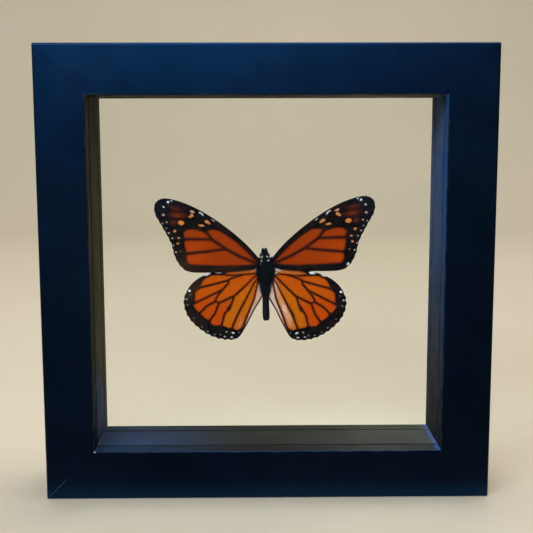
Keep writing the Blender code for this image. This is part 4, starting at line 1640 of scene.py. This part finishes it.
class MESH_OT_body(bpy.types.Operator):
    """Model the head, thorax, abdomen, eyes, palps, shoulder lobes and tongue"""
    bl_idname = "mesh.butterfly_body"
    bl_label = "Body"
    bl_options = {"REGISTER", "UNDO"}

    def execute(self, context):
        settings = context.scene.body_settings
        skin = hair_material("dark skin", settings.skin, settings.hair, 0.55)
        lobes = [model_core()]
        for sign in SIDES.values():
            lobes.append(add_ball(PALP_RADII, on_side(PALP_CENTRE, sign), sign * 0.08))
            lobes.append(add_ball(SHOULDER_RADII, on_side(SHOULDER_CENTRE, sign), sign * 0.5))
        core = join_meshes(lobes, "body_core")
        set_place(core, "body_core", [skin])
        facets = eye_material()
        for side, sign in SIDES.items():
            eye = add_ball(EYE_RADII, on_side(EYE_CENTRE, sign), 0.0, 40, 26)
            set_place(eye, f"eye_{side}", [facets])
        set_place(model_tongue(), "tongue", [skin])
        return {"FINISHED"}


class MESH_OT_legs(bpy.types.Operator):
    """Model the folded legs on the under side"""
    bl_idname = "mesh.butterfly_legs"
    bl_label = "Legs"
    bl_options = {"REGISTER", "UNDO"}

    def execute(self, context):
        settings = context.scene.body_settings
        skin = hair_material("leg skin", settings.skin, settings.hair_light, 0.45)
        for side in SIDES:
            for pair in LEG_PATHS:
                set_place(model_leg(pair, side), f"leg_{pair}_{side}", [skin])
        return {"FINISHED"}


class MESH_OT_hair(bpy.types.Operator):
    """Grow the hair of the body and its white tufts"""
    bl_idname = "mesh.butterfly_hair"
    bl_label = "Hair"
    bl_options = {"REGISTER", "UNDO"}

    def execute(self, context):
        settings = context.scene.body_settings
        dark = hair_material("body hair", settings.hair, settings.hair_light, 0.5)
        white = hair_material("white tufts", *TUFT_COLORS, 0.6)
        coats = (("body_hair", body_hair(settings), dark), ("white_tufts", tuft_hair(), white))
        for name, mesh, material in coats:
            hair = bpy.data.objects.new(name, mesh)
            context.collection.objects.link(hair)
            bend_piece(hair)
            hair.matrix_world = body_place()
            apply_place(hair)
            finish_piece(hair, name, ["body"], [material])
        return {"FINISHED"}


class MESH_OT_glue(bpy.types.Operator):
    """Model the drop of clear adhesive behind the thorax"""
    bl_idname = "mesh.butterfly_glue"
    bl_label = "Glue"
    bl_options = {"REGISTER", "UNDO"}

    def execute(self, context):
        low, high = GLUE_BOX
        radius = (high.x - low.x) / 2
        middle = (low + high) / 2
        clear_selection()
        bpy.ops.mesh.primitive_cylinder_add(
            vertices=40, radius=radius, depth=GLUE_BACK - GLUE_FRONT, rotation=(math.radians(90), 0.0, 0.0),
            location=(middle.x, (GLUE_FRONT + GLUE_BACK) / 2, middle.z)
        )
        drop = bpy.context.object
        apply_place(drop)
        bpy.ops.object.mode_set(mode="EDIT")
        select_edges(drop, lambda place, way: abs(place.y - GLUE_FRONT) < FIT_GAP / 10)
        bpy.ops.transform.resize(
            value=(GLUE_FRONT_SHARE, 1.0, GLUE_FRONT_SHARE), center_override=(middle.x, GLUE_FRONT, middle.z)
        )
        bpy.ops.mesh.bevel(offset=GLUE_ROUND, segments=4, affect="EDGES")
        bpy.ops.object.mode_set(mode="OBJECT")
        smooth_piece(drop, 40)
        finish_piece(drop, "clear_drop", ["glue_dot"], [glue_material()])
        return {"FINISHED"}


class SCENE_OT_stage(bpy.types.Operator):
    """Set up the pale floor, the soft lights and the camera"""
    bl_idname = "scene.butterfly_stage"
    bl_label = "Stage"
    bl_options = {"REGISTER", "UNDO"}

    def execute(self, context):
        settings = context.scene.stage_settings
        paper = floor_material(settings)
        front_paper = add_paper("paper_front", -PAPER_REACH, PAPER_SEAM)
        front_paper.visible_glossy = False
        for sheet in (front_paper, model_backdrop()):
            sheet.data.materials.append(paper)
        add_light(
            "window light", place=(-0.6, -1.25, 0.85), target=(0, 0, 0.12), size=(1.9, 0.6),
            power=settings.key_power, color=(0.80, 0.90, 1.0)
        )
        add_light(
            "top light", place=(0.2, 0.35, 1.7), target=(0, 0.25, 0.1), size=(1.6, 1.4),
            power=settings.top_power, color=(1.0, 0.97, 0.92)
        )
        world = bpy.data.worlds.new("room")
        context.scene.world = world
        world.use_nodes = True
        background = world.node_tree.nodes["Background"]
        background.inputs["Color"].default_value = (0.95, 0.93, 0.9, 1.0)
        background.inputs["Strength"].default_value = settings.world_level
        add_camera(context)
        context.scene.view_settings.view_transform = "Standard"
        return {"FINISHED"}


# Panel


class VIEW3D_PT_butterfly(bpy.types.Panel):
    """Lists the steps that build the framed butterfly"""
    bl_idname = "VIEW3D_PT_butterfly"
    bl_label = "Framed Butterfly"
    bl_space_type = "VIEW_3D"
    bl_region_type = "UI"
    bl_category = "Butterfly"

    def draw(self, context):
        for step in STEPS:
            self.layout.operator(step.bl_idname)
        for name in SETTINGS:
            box = self.layout.box()
            group = getattr(context.scene, name)
            for setting in group.bl_rna.properties:
                if setting.identifier not in ("name", "rna_type"):
                    box.prop(group, setting.identifier)


STEPS = (
    MESH_OT_rails, MESH_OT_strips, MESH_OT_panes, MESH_OT_wings, MESH_OT_body, MESH_OT_legs, MESH_OT_hair,
    MESH_OT_glue, SCENE_OT_stage,
)
SETTINGS = {
    "frame_settings": FrameSettings,
    "glass_settings": GlassSettings,
    "wing_settings": WingSettings,
    "body_settings": BodySettings,
    "stage_settings": StageSettings,
}


def register():
    for group in SETTINGS.values():
        bpy.utils.register_class(group)
    for name, group in SETTINGS.items():
        setattr(bpy.types.Scene, name, PointerProperty(type=group))
    for step in STEPS:
        bpy.utils.register_class(step)
    bpy.utils.register_class(VIEW3D_PT_butterfly)


def unregister():
    bpy.utils.unregister_class(VIEW3D_PT_butterfly)
    for step in reversed(STEPS):
        bpy.utils.unregister_class(step)
    for name, group in SETTINGS.items():
        delattr(bpy.types.Scene, name)
        bpy.utils.unregister_class(group)


def main():
    register()
    bpy.ops.mesh.butterfly_rails()
    bpy.ops.mesh.butterfly_strips()
    bpy.ops.mesh.butterfly_panes()
    bpy.ops.mesh.butterfly_wings()
    bpy.ops.mesh.butterfly_body()
    bpy.ops.mesh.butterfly_legs()
    bpy.ops.mesh.butterfly_hair()
    bpy.ops.mesh.butterfly_glue()
    bpy.ops.scene.butterfly_stage()


if __name__ == "__main__":
    main()
